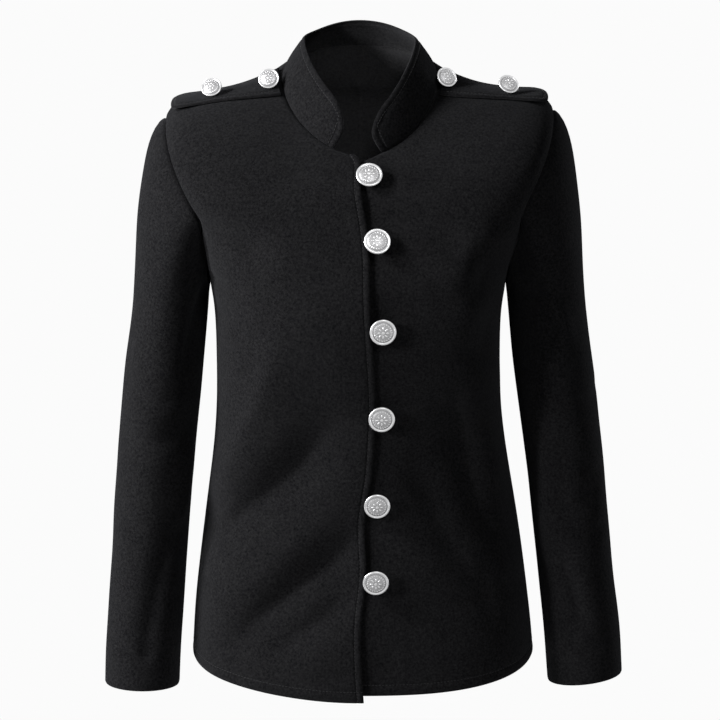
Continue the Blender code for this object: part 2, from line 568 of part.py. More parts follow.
def make_collar():
    right, left = (math.radians(COLLAR_END[side]) for side in (-1, 1))

    def place(u, v):
        around = -right + (right + left) * u
        panel_normal = torso_normal(math.pi / 2.0 - around, np.full_like(around, NECK))
        to_end = np.minimum(around + right, left - around) * COLLAR_RADIUS
        full = np.linalg.norm(collar(around, 1.0 + 0.0 * v) - collar(around, 0.0 * v), axis=-1)
        inset = np.clip(1.0 - to_end / COLLAR_CORNER, 0.0, 1.0)
        cut = COLLAR_CORNER * (1.0 - np.sqrt(1.0 - inset**2)) / full
        h = v * (1.0 - cut)
        nose = np.sign(around) * np.clip(1.0 - to_end / COLLAR_NOSE_REACH, 0.0, 1.0)**2
        around = around + COLLAR_NOSE / COLLAR_RADIUS * nose * 4.0 * h * (1.0 - h)
        point, normal = collar(around, h), collar_normal(around, h)
        shift, inside = np.zeros_like(point), -WALL * normal
        seam = v < 1e-6
        step = 1e-3
        along = unit(collar(around + step, h) - collar(around - step, h))
        down = unit(np.cross(normal, along))
        outer, inner = seam_shift(normal[seam], panel_normal[seam], down[seam])
        shift[seam], inside[seam] = outer, inner
        return point + shift, point + shift + inside

    return wall("collar", COLLAR_COLUMNS, COLLAR_ROWS, place)


def strap_point(side, t, forward):
    """A place on the shoulder: ring number, and distance in front of the shoulder seam."""
    theta0 = np.full_like(t, side_angle(side))
    step = 1e-3
    pace = np.linalg.norm(torso(theta0 + step, t) - torso(theta0 - step, t), axis=-1) / (2.0 * step)
    return garment(theta0 - side * forward / pace, t)


def make_strap(name, side):
    """A shoulder strap, made from the shoulder's own points and moved out."""
    def place(u, v):
        t = STRAP_INNER + (STRAP_OUTER - STRAP_INNER) * v
        to_end = (1.0 - v) * STRAP_LENGTH
        inset = np.clip(1.0 - to_end / STRAP_ROUND, 0.0, 1.0)
        half = STRAP_HALF * (0.55 + 0.45 * np.sqrt(1.0 - inset**2))
        forward = STRAP_FORWARD + half * (1.0 - 2.0 * u)
        point, normal = strap_point(side, t, forward)
        free = STRAP_STAND * smooth((v - STRAP_FREE) / (1.0 - STRAP_FREE))[:, None]
        lower = point + normal * (STRAP_CLEAR + free)
        return lower + normal * STRAP_WALL, lower

    return wall(name, STRAP_COLUMNS, STRAP_ROWS, place)


def make_button(name, radius, foot, face, stand, surface):
    """A domed shank button, turned about its axis. foot is the place on the cloth, face its axis and
    surface the cloth's outward direction; the shank ends just clear of the cloth."""
    slope = face.angle(surface)
    shank = stand - SHANK_CLEAR - SHANK * math.tan(slope)
    profile = (
        (0.0, -shank), (SHANK, -shank), (SHANK, 0.0), (radius - 1.2 * MM, 0.0), (radius, 0.8 * MM),
        (radius, 1.7 * MM), (radius - 0.9 * MM, 2.3 * MM), (radius - 1.7 * MM, 1.9 * MM),
        (radius * 0.60, 3.2 * MM), (radius * 0.30, 3.9 * MM), (0.0, 4.2 * MM),
    )
    bm = bmesh.new()
    verts = [bm.verts.new((r, 0.0, z)) for r, z in profile]
    edges = [bm.edges.new(pair) for pair in zip(verts, verts[1:])]
    bmesh.ops.spin(bm, geom=verts + edges, cent=(0, 0, 0), axis=(0, 0, 1), angle=2.0 * math.pi,
                   steps=BUTTON_STEPS, use_merge=True)
    bmesh.ops.remove_doubles(bm, verts=bm.verts, dist=1e-6)
    turn = face.to_track_quat("Z", "Y").to_matrix().to_4x4()
    bmesh.ops.transform(bm, matrix=Matrix.Translation(foot + face * stand) @ turn, verts=bm.verts)
    return finish(name, bm, SILVER, 0.32, 1.0)


def facing(tilt, turn):
    """The direction of a button's face: up from the front by tilt, to the wearer's left by turn."""
    tilt, turn = math.radians(tilt), math.radians(turn)
    return Vector((math.sin(turn) * math.cos(tilt), -math.cos(turn) * math.cos(tilt), math.sin(tilt)))


def front_place(x, z):
    """Ring angle and number of the place on the left front at x, z, mm, in the front view."""
    theta, t = -math.pi / 2.0, 5.0
    for _ in range(30):
        here = torso(np.array([theta]), np.array([t]))[0] / MM
        t += (z - here[2]) / 60.0
        theta += (x - here[0]) / 150.0
    return theta, t


def make_buttons():
    for number, (x, z, tilt, turn, stand) in enumerate(FRONT_BUTTONS, 1):
        theta, t = front_place(x, z)
        foot, normal = garment(np.array([theta]), np.array([t]))
        make_button(f"button_front_{number}", FRONT_BUTTON, Vector(foot[0]), facing(tilt, turn),
                    stand * MM, Vector(normal[0]))
    for name, side, t, forward, tilt, turn, stand in STRAP_BUTTONS:
        foot, normal = strap_point(side, np.array([t]), np.array([forward * MM]))
        top = foot[0] + normal[0] * (STRAP_CLEAR + STRAP_WALL)
        make_button(f"button_strap_{name}", STRAP_BUTTON, Vector(top), facing(tilt, side * turn),
                    stand * MM, Vector(normal[0]))


def main():
    for thing in list(bpy.data.objects):
        bpy.data.objects.remove(thing)
    for word, side in (("right", -1), ("left", 1)):
        make_panel(f"front_{word}", side, front=True)
        make_panel(f"back_{word}", side, front=False)
        make_sleeve(f"sleeve_{word}", side)
        make_strap(f"epaulette_{word}", side)
    make_collar()
    make_buttons()


main()
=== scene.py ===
"""Looks of the stand-collar blazer: its black crepe with creases, seams and stitching, and its silvered
shank buttons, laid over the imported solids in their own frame.

Metres, +Z up, the front faces -Y and the wearer's left is +X. Tables are in millimetres.
"""

import math

import bmesh
import bpy
import numpy as np
from mathutils import Matrix, Vector


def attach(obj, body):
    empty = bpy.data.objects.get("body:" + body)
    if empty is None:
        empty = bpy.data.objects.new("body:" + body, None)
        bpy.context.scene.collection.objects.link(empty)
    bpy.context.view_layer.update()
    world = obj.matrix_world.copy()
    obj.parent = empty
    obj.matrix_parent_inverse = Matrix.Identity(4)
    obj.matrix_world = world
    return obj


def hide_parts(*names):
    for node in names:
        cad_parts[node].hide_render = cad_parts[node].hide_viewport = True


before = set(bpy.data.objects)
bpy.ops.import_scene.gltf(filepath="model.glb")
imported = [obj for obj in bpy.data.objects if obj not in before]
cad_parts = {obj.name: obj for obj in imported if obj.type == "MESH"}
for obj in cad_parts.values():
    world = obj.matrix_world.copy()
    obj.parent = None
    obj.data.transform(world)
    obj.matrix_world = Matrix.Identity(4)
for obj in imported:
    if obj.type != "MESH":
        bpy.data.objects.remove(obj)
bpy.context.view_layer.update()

MM = 0.001
NUDGE = 1e-3  # the small step over which a direction is read
NECK, TIP, UNDERARM = 9.0, 7.0, 5.0  # ring numbers of the neck seam, shoulder tips and underarms
ARM_RING, ARM_REACH = (TIP + UNDERARM) / 2.0, (TIP - UNDERARM) / 2.0  # the armhole's middle and half height
ARMHOLE_FRONT, ARMHOLE_BACK = math.radians(24.0), math.radians(24.0)
ARMHOLE_SCOOP = math.radians(14.0)  # how much further the armhole cuts in above the front's middle
SCOOP_FROM, SCOOP_EASE = math.radians(60.0), math.radians(50.0)

WALL = 1.6 * MM  # the cloth doubled by its turnings
WALL_LEAST, WALL_THINS = 0.9, 0.4  # its least, mm, and how much a hollow of its relief thins it
UNDERLAP = 22.0 * MM  # how far the left front runs on under the right one
LAP, LAP_MARGIN = 3.3 * MM, 5.0 * MM  # how far out the right front lies there, and for how much longer
LAP_BLEND, LAP_BLEND_NECK = 110.0 * MM, 45.0 * MM  # the width over which it comes down
LAP_WIDE, LAP_NARROW = 6.0, 8.0  # ring numbers between which that width narrows
HEM_STEP, HEM_STEP_WIDE = 3.0 * MM, 80.0 * MM  # how the fronts' hems part beside the centre
NECK_DIP_FROM, NECK_DIP, NECK_DIP_EASE = 21.0, 0.0135, 6.0  # fall of the left front's neckline, mm
NECK_DIP_RING = 8.0  # ring number above which it falls

FOLD_BEYOND, FOLD_FADE = 0.2, 0.5  # how far a fold runs past its ends and fades, in its lengths
FOLD_FROM_SIDE, FOLD_SIDE_EASE = 8.0, 45.0  # where folds set in before or behind the side, mm
FOLD_ROUND = 4.0  # how softly a fold turns at its line, mm
FOLD_DEEPEN = 1.4  # the cloth dips and rises this much more than its solid

# Rings round the torso from hem to neck, mm. A ring passes through its side, front and back points.
# "lean" is its rise from the side towards the back, "square" the fullness of its corners and
# "roll" its rise from the wearer's right side to the left.
RINGS = (
    # z_side, z_front, z_back, half, shift, y_side, y_front, y_back, lean, square, roll
    (-564, -586, -571, 168.8, 2.6, 3, -113, 115, 0, 0.20, 1.5),  # 0 hem
    (-490, -504, -494, 162.3, 1.6, 3, -109, 114, 0, 0.24, 1.5),  # 1 hip
    (-410, -420, -413, 151.2, 1, 3, -104, 101, 0, 0.30, 1.5),  # 2 below the waist
    (-330, -340, -332, 140, -0.7, 2, -107, 88, 0, 0.34, 1.5),  # 3 waist
    (-262, -277, -264, 138.4, -1.9, 1, -119, 93, 0, 0.32, 1.5),  # 4 ribs
    (-196, -216, -200, 143.3, -2, 0, -127, 103, 2, 0.24, 2),  # 5 bust and underarm
    (-115, -172, -112, 171, -1, 2, -121, 106, 12, 0.25, 5),  # 6 across the chest
    (-35, -124, -34, 188.2, -0.5, 4, -107, 92, 24, 0.25, 7.7),  # 7 shoulder tips
    (-13, -93, -8, 132, 0, 2, -92, 76, 12, 0.12, 2),  # 8 mid shoulder
    (0, -70.5, 31, 76, 0, 0, -77, 60, 46, 0.00, 0),  # 9 neck seam
)

# The free edge of the right front: ring number and distance from the middle of the garment, mm.
FRONT_EDGE = (
    # ring, x
    (0, 3.7), (0.5, 1), (1, 2), (1.5, 6), (2, 4.5), (2.5, 10.4), (3, 13.6), (3.5, 14.9),
    (4, 14), (5, 10), (6.5, 7.8), (7, 4.5), (7.6, 1), (8.4, 1.2), (8.75, 0), (9, -4),
)

# Where the overlap gapes between two buttons: ring number, half length in rings and rise, mm.
GAPES = (
    # ring, reach, rise
    (7.4, 0.7, 1.6),
    (5, 0.8, 2),
    (2.9, 0.5, 1),
    (1.85, 0.5, 1.6),
    (0.2, 0.7, 2.2),
)

# Main folds of the torso in the front view, mm: start, middle and end of the fold's line, depth (a trough
# is negative) and how far it reaches up or to the right side, and the other way. "face" is -1 for the
# front and +1 for the back.
TORSO_FOLDS = (
    # face, x0, z0, xm, zm, x1, z1, depth, reach_up, reach_down
    (-1, -160, -132, -126, -144, -83, -159, -5.5, 22, 56),  # from the right armhole to the bust
    (-1, -76, -243, -102, -318, -136, -396, 4.5, 20, 56),  # ridge over the right waist
    (-1, -29, -325, -88, -390, -160, -442, -8.5, 38, 60),  # long drag lines to the right side
    (-1, -4, -430, -60, -479, -130, -542, -9, 34, 60),
    (-1, -10, -488, -40, -512, -88, -544, -5, 24, 30),
    (-1, 96, -158, 98, -196, 94, -240, 4, 64, 34),  # the left breast
    (-1, 128, -138, 114, -147, 96, -160, 3, 36, 24),  # below the left armhole
    (-1, 124, -170, 114, -184, 102, -204, -3.5, 24, 30),
    (-1, 128, -212, 118, -239, 109, -271, -4, 34, 44),  # hollow beside the left waist
    (-1, 91, -296, 104, -364, 140, -446, -10.5, 58, 44),  # drag lines to the left side
    (-1, 34, -488, 84, -498, 146, -487, -3, 40, 50),
    (1, -135, -296, -88, -322, -36, -334, -4.5, 34, 44),  # the hollow of the back
    (1, 138, -304, 92, -334, 46, -346, -4.5, 40, 36),
    (1, -118, -368, -104, -420, -70, -474, 4, 36, 34),
    (1, 114, -376, 108, -440, 80, -506, 4, 38, 34),
    (1, -152, -146, -136, -186, -104, -222, -3.5, 26, 36),  # from the back armholes
    (1, 152, -142, 132, -178, 102, -212, -3.5, 28, 34),
)

# Cross-sections of the sleeves below the shoulder, mm. The arms hang a little forward of the side.
SLEEVE_SECTIONS = (
    # z, x_right, half_right, x_left, half_left, y, half_y
    (-222, 185.2, 37.2, 182.6, 38.2, -3, 54),
    (-262, 189.5, 37.9, 186.8, 38.6, -5, 52),
    (-310, 194.4, 38.4, 192.6, 38.7, -8, 49.5),
    (-357, 198.9, 38.1, 198.6, 38.2, -11, 47),
    (-404, 202.8, 37.5, 203.8, 37.4, -13.5, 45),
    (-452, 206.1, 37.1, 208.7, 37.3, -16.5, 43),
    (-499, 209.1, 37, 213.7, 37.3, -19, 41),
    (-547, 212.4, 36.8, 218.5, 37.2, -22, 39.5),
    (-592, 215, 37, 221.5, 36.6, -24, 39),
)
CAP_SPREAD = {-1: 0.78, 1: 0.45}  # how far the top of each sleeve cap runs outwards
CAP_OUT, CAP_DROP = 0.30, 0.62  # how the cap leaves: out at the underarm, flatter at the top
CAP_LEAVE, CAP_ARRIVE = (20.0, 72.0), (26.0, 130.0)  # its pull at both ends, mm, and how much more on top
CUFF_RISE = {-1: 1.0 * MM, 1: 4.8 * MM}  # how much the cuff is higher outside than at its middle
CUFF_LIFT = {-1: 0.0, 1: 7.0 * MM}  # the left cuff ends a little higher
CUFF_REACH = 70.0 * MM
SLEEVE_RADIUS = 46.0  # of a sleeve, mm, to turn its angles into lengths

# Main folds of a sleeve: side, then angle round the sleeve in degrees (0 inside, 90 front, 180 outside,
# 270 back) and height, mm, at the start, middle and end of the fold's line; depth and reaches, mm.
SLEEVE_FOLDS = (
    # side, turn0, z0, turnm, zm, turn1, z1, depth, reach_up, reach_down
    (-1, 155, -343, 96, -347, 37, -340, -3.8, 30, 26),  # elbow
    (-1, 27, -357, 31, -388, 38, -427, 3.5, 26, 16),
    (-1, 50, -437, 73, -501, 84, -563, -3, 30, 20),
    (-1, 14, -178, 40, -226, 52, -290, -3, 16, 22),
    (-1, 190, -352, 228, -338, 268, -330, -3, 24, 26),
    (-1, 280, -372, 310, -386, 342, -405, -3, 24, 26),
    (1, 88, -202, 102, -222, 114, -248, 2.5, 14, 18),
    (1, 64, -413, 98, -409, 138, -394, -3.2, 24, 28),  # elbow
    (1, 96, -336, 80, -373, 72, -404, -2, 20, 18),
    (1, 58, -451, 76, -491, 88, -528, -3.4, 22, 20),
    (1, 200, -345, 238, -332, 276, -325, -3, 24, 26),
    (1, 284, -366, 312, -380, 340, -398, -3, 24, 26),
)

# The collar's width from neck seam to free edge, mm: angle from the centre back in degrees, then how
# far the free edge lies inwards of the seam, behind it, and above it on the right and the left side.
COLLAR_SECTIONS = (
    # around, inward, back, up_right, up_left
    (0, 0, -16, 24.5, 24.5),
    (45, 12, -13, 21.5, 21.5),
    (70, 20, -9, 28.5, 27),
    (90, 22, -6, 37.5, 36),
    (120, 20.5, -2, 42, 41),
    (138, 18.5, 0, 40.5, 38),
    (152, 15, 2, 39, 36),
    (166, 12.5, 3, 36, 33),
)
COLLAR_END = {-1: 160.5, 1: 164.0}  # degrees from the centre back to each front end
COLLAR_CORNER = 20.0 * MM  # radius of the rounded front corners
COLLAR_NOSE = 3.5 * MM  # how far the front ends swell forward
COLLAR_BULGE = 1.5 * MM  # how far its middle swells outwards
COLLAR_RADIUS = 75.0 * MM  # of the neck, to turn its angles into lengths
COLLAR_NOSE_LONG = 30.0 * MM  # how much of each end swells

STRAP_HALF = 21.5 * MM  # half width of a shoulder strap
STRAP_INNER, STRAP_OUTER = 8.93, 7.26  # ring numbers of its ends
STRAP_LENGTH = 103.0 * MM
STRAP_ROUND, STRAP_TIP = 16.0 * MM, 0.55  # length of its rounding, and share of its width at the very end
STRAP_FREE, STRAP_STAND = 0.72, 3.5 * MM  # share of its length that lies down, and rise of the free end
STRAP_WALL = 2.4 * MM
STRAP_CLEAR, STRAP_FORWARD = 0.7 * MM, 4.0 * MM  # off the cloth, and in front of the shoulder seam

# Finer creases of the torso, in the same way.
TORSO_CREASES = (
    (-1, 98, -176, 106, -250, 103, -340, 4.5, 76, 42),  # the breast's fullness carries on down
    (-1, 52, -352, 76, -420, 118, -486, -4, 34, 40),  # before the left drag lines
    (-1, -146, -185, -137, -189, -126, -193, -1.6, 6, 9),  # pucker at the right side
    (-1, -139, -214, -120, -231, -98, -241, -1.2, 14, 16),
    (-1, -103, -559, -75, -567, -19, -567, -1.6, 10, 7),  # soft dent over the hem
    (-1, -19, -350, -45, -373, -66, -398, -1, 14, 16),
    (-1, -116, -397, -130, -421, -145, -436, 1.2, 10, 8),
    (-1, 41, -364, 66, -390, 96, -411, -2, 34, 24),  # beside the buttons
    (-1, 30, -534, 28, -550, 29, -564, -1, 12, 10),  # at the hem beside the edge
    (-1, 118, -326, 126, -364, 137, -397, 1.5, 14, 10),
    (-1, 131, -449, 122, -487, 130, -525, -1.2, 16, 14),
    (-1, 64, -184, 86, -203, 103, -203, -1, 18, 20),
    (-1, 34, -293, 60, -301, 86, -296, -1.2, 16, 20),
    (1, -132, -330, -92, -350, -52, -358, -1.6, 12, 16),  # the hollow of the back
    (1, 132, -340, 96, -362, 60, -370, -1.6, 14, 14),
    (1, -150, -140, -128, -170, -100, -196, -1.4, 10, 12),
    (1, 150, -136, 126, -166, 100, -188, -1.4, 10, 12),
    (1, -96, -430, -110, -480, -104, -540, -1.6, 20, 18),
    (1, 96, -430, 112, -490, 104, -548, -1.6, 20, 18),
    (1, -44, -150, -20, -158, 6, -154, -0.8, 16, 20),
)

# Finer creases of the sleeves, in the same way as their main folds.
SLEEVE_CREASES = (
    (-1, 127, -423, 102, -443, 68, -451, -1.2, 12, 14),
    (-1, 129, -554, 99, -559, 67, -554, -1.5, 10, 10),  # near the cuff
    (-1, 129, -299, 93, -309, 60, -303, -1.2, 16, 14),
    (-1, 149, -239, 153, -280, 147, -318, -1, 12, 14),
    (-1, 200, -366, 232, -352, 262, -348, -1.4, 10, 12),
    (-1, 240, -246, 270, -238, 300, -232, -1.3, 12, 14),
    (1, 105, -367, 127, -375, 163, -373, -1.2, 10, 12),
    (1, 77, -427, 102, -439, 142, -433, -1.4, 14, 16),
    (1, 68, -540, 94, -550, 122, -544, -1.3, 12, 14),  # near the cuff
    (1, 109, -287, 129, -303, 175, -299, -1.2, 12, 14),
    (1, 206, -360, 238, -350, 268, -344, -1.4, 10, 12),
    (1, 240, -240, 270, -232, 300, -226, -1.3, 12, 14),
)

# Distances from an edge at which the rows and columns of the cloth grids lie, mm.
SEAM_STEPS = (0.0, 0.7, 1.5, 2.5, 3.8, 5.4, 7.4)
EDGE_STEPS = (0.0, 0.6, 1.3, 2.4, 3.8, 4.8, 5.4, 6.0, 6.6, 7.2, 8.4)
HEM_STEPS = (0.0, 0.6, 1.3, 2.6, 4.6, 7.0, 8.8, 9.4, 10.0, 10.6, 11.2, 12.8)
PLAIN_STEPS = (0.0, 0.6, 1.3, 2.6, 4.6)
STRAP_STEPS = (0.0, 0.6, 1.3, 2.4, 3.4, 4.2, 5.0, 6.4)
EDGE_LINE, HEM_LINE, STRAP_LINE = 6.0, 10.0, 4.2  # rows of topstitching from the edge, mm

# Relief across a distance, mm: height, place and width of each soft bump or groove.
SEAM_RELIEF = ((-0.95, 0.0, 1.4), (-0.3, 0.0, 4.5))  # the cloth rolls down into a seam
EDGE_RELIEF = ((-0.65, 0.0, 0.8),)  # a turned edge rounds off
SEAM_CALM = ((-0.75, 0.0, 10.0),)  # creases die away beside a seam
STRAP_UNDER = ((0.7, 0.0, 0.9),)  # the strap's underside rises to its edge
MITRE_REACH, BESIDE_SEAM = 7.0, 0.02  # width of a seam's mitre, mm, and where its other wall is read

# Length and height of the cloth's slight unevenness, mm.
PANEL_RIPPLE, SLEEVE_RIPPLE, COLLAR_RIPPLE, STRAP_RIPPLE = (34.0, 0.9), (26.0, 0.9), (16.0, 0.35), (14.0, 0.3)

# Length, spacing and thickness of a topstitch.
STITCH, STITCH_SPACE, STITCH_THICK = 2.5 * MM, 3.3 * MM, 0.27 * MM
COLLAR_INNER_LIGHT = 0.35  # how far the inside of the collar is painted paler: painted light standing in for light inside

FRONT_BUTTON, STRAP_BUTTON = 12.5 * MM, 10.2 * MM  # radius
LOOP, LOOP_WIRE = 1.9 * MM, 0.55 * MM  # radius of the shank's wire loop and of its wire

# Light: what the camera sees behind the garment, what the metal mirrors and what reaches everywhere.
WHITE, REFLECTED, AMBIENT = 0.965, 0.75, 0.012

FLOOR_RADIUS, FLOOR_Z = 1.6, -1.4

MIDDLE = Vector((0.0, 0.0, -0.275))  # of the garment, where camera and lamps point
LENS, SENSOR = 132.65, 36.0  # mm
CAMERA_REACH, CAMERA_UP = 2.6, math.radians(8.0)

# Soft round lamps, each LAMP_REACH from the garment's middle: degrees to its right side from the front,
# degrees up, and watts.
LAMP_REACH, LAMP_SIZE = 2.2, 0.4
LAMPS = (
    # name, azimuth, elevation, power
    ("key_high", 70, 35, 25),
    ("key_side", 80, 12, 19),
    ("key_front", 56, 16, 18),
    ("front_high", -15, 40, 5),
    ("front_low", -65, -15, 1),
    ("back_right", 152, 30, 14),
    ("back_left", -128, 12, 8),
)

# Front buttons: place in the front view, mm, upward tilt and turn to the left of each face, degrees,
# and how far its back stands off the cloth.
FRONT_BUTTONS = (
    # x, z, tilt, turn, stand
    (8.4, -91, 34, 2, 6.5),
    (15.6, -150, 25, 4, 6.5),
    (20.8, -229, -10, 4, 7.2),
    (19.9, -313, -12, 3, 7.2),
    (15.9, -397, -14, 2, 7.2),
    (14.7, -470.5, -14, 2, 7.2),
)

# Strap buttons: ring number and distance in front of the shoulder seam, mm, upward tilt and turn
# outwards of each face, degrees, and how far its back stands off the strap.
STRAP_BUTTONS = (
    # name, side, ring, forward, tilt, turn, stand
    ("right_outer", -1, 7.87, 7, 34, 12, 8.2),
    ("right_inner", -1, 8.80, 7, 24, 8, 7.4),
    ("left_inner", 1, 8.92, 7, 26, 24, 6.8),
    ("left_outer", 1, 7.88, 7, 34, 20, 8.4),
)


def smooth(x):
    """Ease from 0 to 1, flat at both ends."""
    x = np.clip(x, 0.0, 1.0)
    return x * x * (3.0 - 2.0 * x)


def through(knots, values, t):
    """The natural cubic curve through the values at the knots, read at t."""
    knots, values, t = np.asarray(knots, float), np.asarray(values, float), np.asarray(t, float)
    span = np.diff(knots)
    slope = np.diff(values) / span
    system, load = np.eye(len(knots)), np.zeros(len(knots))
    for i in range(1, len(knots) - 1):
        system[i, i - 1:i + 2] = span[i - 1], 2.0 * (span[i - 1] + span[i]), span[i]
        load[i] = 6.0 * (slope[i] - slope[i - 1])
    bend = np.linalg.solve(system, load)
    i = np.clip(np.searchsorted(knots, t, side="right") - 1, 0, len(knots) - 2)
    a, b = (knots[i + 1] - t) / span[i], (t - knots[i]) / span[i]
    return (a * values[i] + b * values[i + 1]
            + ((a**3 - a) * bend[i] + (b**3 - b) * bend[i + 1]) * span[i]**2 / 6.0)


def bells(d, *rows):
    """Soft bumps across a distance, added up: height, place and width of each."""
    return sum(height * np.exp(-((d - place) / width) ** 2) for height, place, width in rows)


def unit(v):
    return v / np.maximum(np.linalg.norm(v, axis=-1, keepdims=True), 1e-12)


def dot(a, b):
    return np.sum(a * b, axis=-1, keepdims=True)


RING_KNOTS = np.arange(len(RINGS), dtype=float)
RING_COLUMNS = np.array(RINGS).T


def torso(theta, t):
    """A point of the plain torso surface: theta round the ring from the wearer's left, t its number."""
    z_side, z_front, z_back, half, shift, y_side, y_front, y_back, lean, square, roll = (
        through(RING_KNOTS, column, t) for column in RING_COLUMNS)
    c, s = np.cos(theta), np.sin(theta)
    across = half * c * (1.0 + square * s * s)
    depth, bias = (y_back - y_front) / 2.0, (y_back + y_front) / 2.0 - y_side
    bow = np.where(s < 0.0, z_front - z_side + lean, z_back - z_side - lean)
    x = shift + across
    y = y_side + depth * s * (1.0 + square * c * c) + bias * s * s
    z = z_side + lean * s + bow * s * s + roll * across / (2.0 * half)
    return np.stack([x, y, z], axis=-1) * MM


def torso_normal(theta, t):
    round_it = torso(theta + NUDGE, t) - torso(theta - NUDGE, t)
    up_it = torso(theta, t + NUDGE) - torso(theta, t - NUDGE)
    return unit(np.cross(round_it, up_it))


def fold(px, pz, x0, z0, xm, zm, x1, z1, depth, reach_up, reach_down):
    """A fold along a bowed line, deepest at its middle and fading to its ends: a soft crest or valley
    whose two slopes reach out unequally far."""
    length = math.hypot(x1 - x0, z1 - z0)
    ux, uz = (x1 - x0) / length, (z1 - z0) / length
    along = ((px - x0) * ux + (pz - z0) * uz) / length
    bow = (xm - x0) * uz - (zm - z0) * ux
    inside = np.clip(along, -FOLD_BEYOND, 1.0 + FOLD_BEYOND)
    off = (px - x0) * uz - (pz - z0) * ux - bow * (1.0 - (2.0 * inside - 1.0) ** 2)
    upper = off if ux + uz < 0.0 else -off
    soft = np.sqrt(off**2 + FOLD_ROUND**2) - FOLD_ROUND
    slope = np.clip(1.0 - soft / np.where(upper > 0.0, reach_up, reach_down), 0.0, 1.0)
    starts, ends = along + FOLD_BEYOND, 1.0 + FOLD_BEYOND - along
    return depth * slope**2 * smooth(starts / FOLD_FADE) * smooth(ends / FOLD_FADE)


def torso_folds(p, table=TORSO_FOLDS):
    """How far the folds of the torso lift the cloth at these points."""
    px, py, pz = p[..., 0] / MM, p[..., 1] / MM, p[..., 2] / MM
    total = np.zeros_like(px)
    for face, *line in table:
        total += smooth((face * py - FOLD_FROM_SIDE) / FOLD_SIDE_EASE) * fold(px, pz, *line)
    return total[..., None] * MM


def edge_x(t):
    """Where the free edge of the right front lies on a ring."""
    knots, values = zip(*FRONT_EDGE)
    return through(knots, values, t) * MM


def lap(theta, t):
    """How far the right front is lifted at this place by the overlap."""
    x = torso(theta, t)[..., 0]
    rise = np.full_like(x, LAP)
    for ring, reach, extra in GAPES:
        rise = rise + extra * MM * smooth(1.0 - np.abs(t - ring) / reach)
    past = edge_x(t) - x - UNDERLAP - LAP_MARGIN
    wide = smooth((LAP_NARROW - t) / (LAP_NARROW - LAP_WIDE))
    blend = LAP_BLEND_NECK + (LAP_BLEND - LAP_BLEND_NECK) * wide
    near = smooth(1.0 - past / blend) * (np.sin(theta) < 0.0)
    return (rise * near)[..., None]


def garment(theta, t, right=False):
    """Outer skin and outward direction of the torso pieces."""
    p, n = torso(theta, t), torso_normal(theta, t)
    lift = FOLD_DEEPEN * torso_folds(p)
    if right:
        lift = lift + lap(theta, t)
    return p + n * lift, n


def side_angle(side):
    return 0.0 if side > 0 else math.pi


def armhole_loop(turn, side):
    """Ring angle and ring number on the armhole: turn 0 underarm, 90 front, 180 shoulder, 270 back."""
    turn = np.asarray(turn, float)
    t = ARM_RING - ARM_REACH * np.cos(turn)
    high = smooth((turn - SCOOP_FROM) / SCOOP_EASE)
    reach = np.where(np.sin(turn) > 0.0, ARMHOLE_FRONT + ARMHOLE_SCOOP * high, ARMHOLE_BACK)
    return side_angle(side) - side * reach * np.sin(turn), t


def along_armhole(turn, side):
    """The direction of the armhole's seam."""
    ahead, behind = (garment(*armhole_loop(turn + step, side))[0] for step in (NUDGE, -NUDGE))
    return unit(ahead - behind)


def sleeve_ring(turn, z, side):
    """A point of the sleeve tube at height z (mm), with the same turn as the armhole."""
    table = np.array(SLEEVE_SECTIONS)[::-1].T
    names = ("z", "x_right", "half_right", "x_left", "half_left", "y", "half_y")
    k = {name: through(table[0], column, z) for name, column in zip(names, table)}
    middle, half = (k["x_left"], k["half_left"]) if side > 0 else (k["x_right"], k["half_right"])
    x = side * (middle - half * np.cos(turn))
    y = k["y"] - k["half_y"] * np.sin(turn)
    cuff = SLEEVE_SECTIONS[-1][0]
    near = smooth(1.0 - (z - cuff) * MM / CUFF_REACH)
    down = (SLEEVE_SECTIONS[0][0] - z) / (SLEEVE_SECTIONS[0][0] - cuff)
    height = z * MM + CUFF_LIFT[side] * down**2 - near * CUFF_RISE[side] * np.cos(turn)
    return np.stack([x * MM, y * MM, height], axis=-1)


def sleeve(turn, v, side):
    """The sleeve's outer skin before folds: v runs from 0 at the armhole over 1 at the biceps to 2."""
    turn, v = np.asarray(turn, float), np.asarray(v, float)
    top_z, cuff_z = SLEEVE_SECTIONS[0][0], SLEEVE_SECTIONS[-1][0]
    theta, t = armhole_loop(turn, side)
    start, _ = garment(theta, t)
    end = sleeve_ring(turn, np.full_like(v, top_z), side)
    high = (1.0 - np.cos(turn)) / 2.0
    leave = np.stack([side * (CAP_OUT + CAP_SPREAD[side] * high), 0.0 * high, CAP_DROP * high - 1.0], axis=-1)
    arrive = sleeve_ring(turn, np.full_like(v, top_z - 5.0), side) - end
    leave, arrive = (unit(way) * (least + more * high)[..., None] * MM
                     for way, (least, more) in ((leave, CAP_LEAVE), (arrive, CAP_ARRIVE)))
    u = np.clip(v, 0.0, 1.0)[..., None]
    cap = ((2 * u**3 - 3 * u**2 + 1) * start + (u**3 - 2 * u**2 + u) * leave
           + (3 * u**2 - 2 * u**3) * end + (u**3 - u**2) * arrive)
    below = np.clip(v - 1.0, 0.0, 1.0)
    tube = sleeve_ring(turn, top_z + (cuff_z - top_z) * below, side)
    return np.where(v[..., None] <= 1.0, cap, tube)


def sleeve_normal(turn, v, side):
    step = 2e-3
    ahead, behind = np.minimum(v + step, 2.0), np.maximum(v - step, 0.0)
    round_it = sleeve(turn + step, v, side) - sleeve(turn - step, v, side)
    down_it = sleeve(turn, ahead, side) - sleeve(turn, behind, side)
    return unit(np.cross(round_it, down_it)) * -side


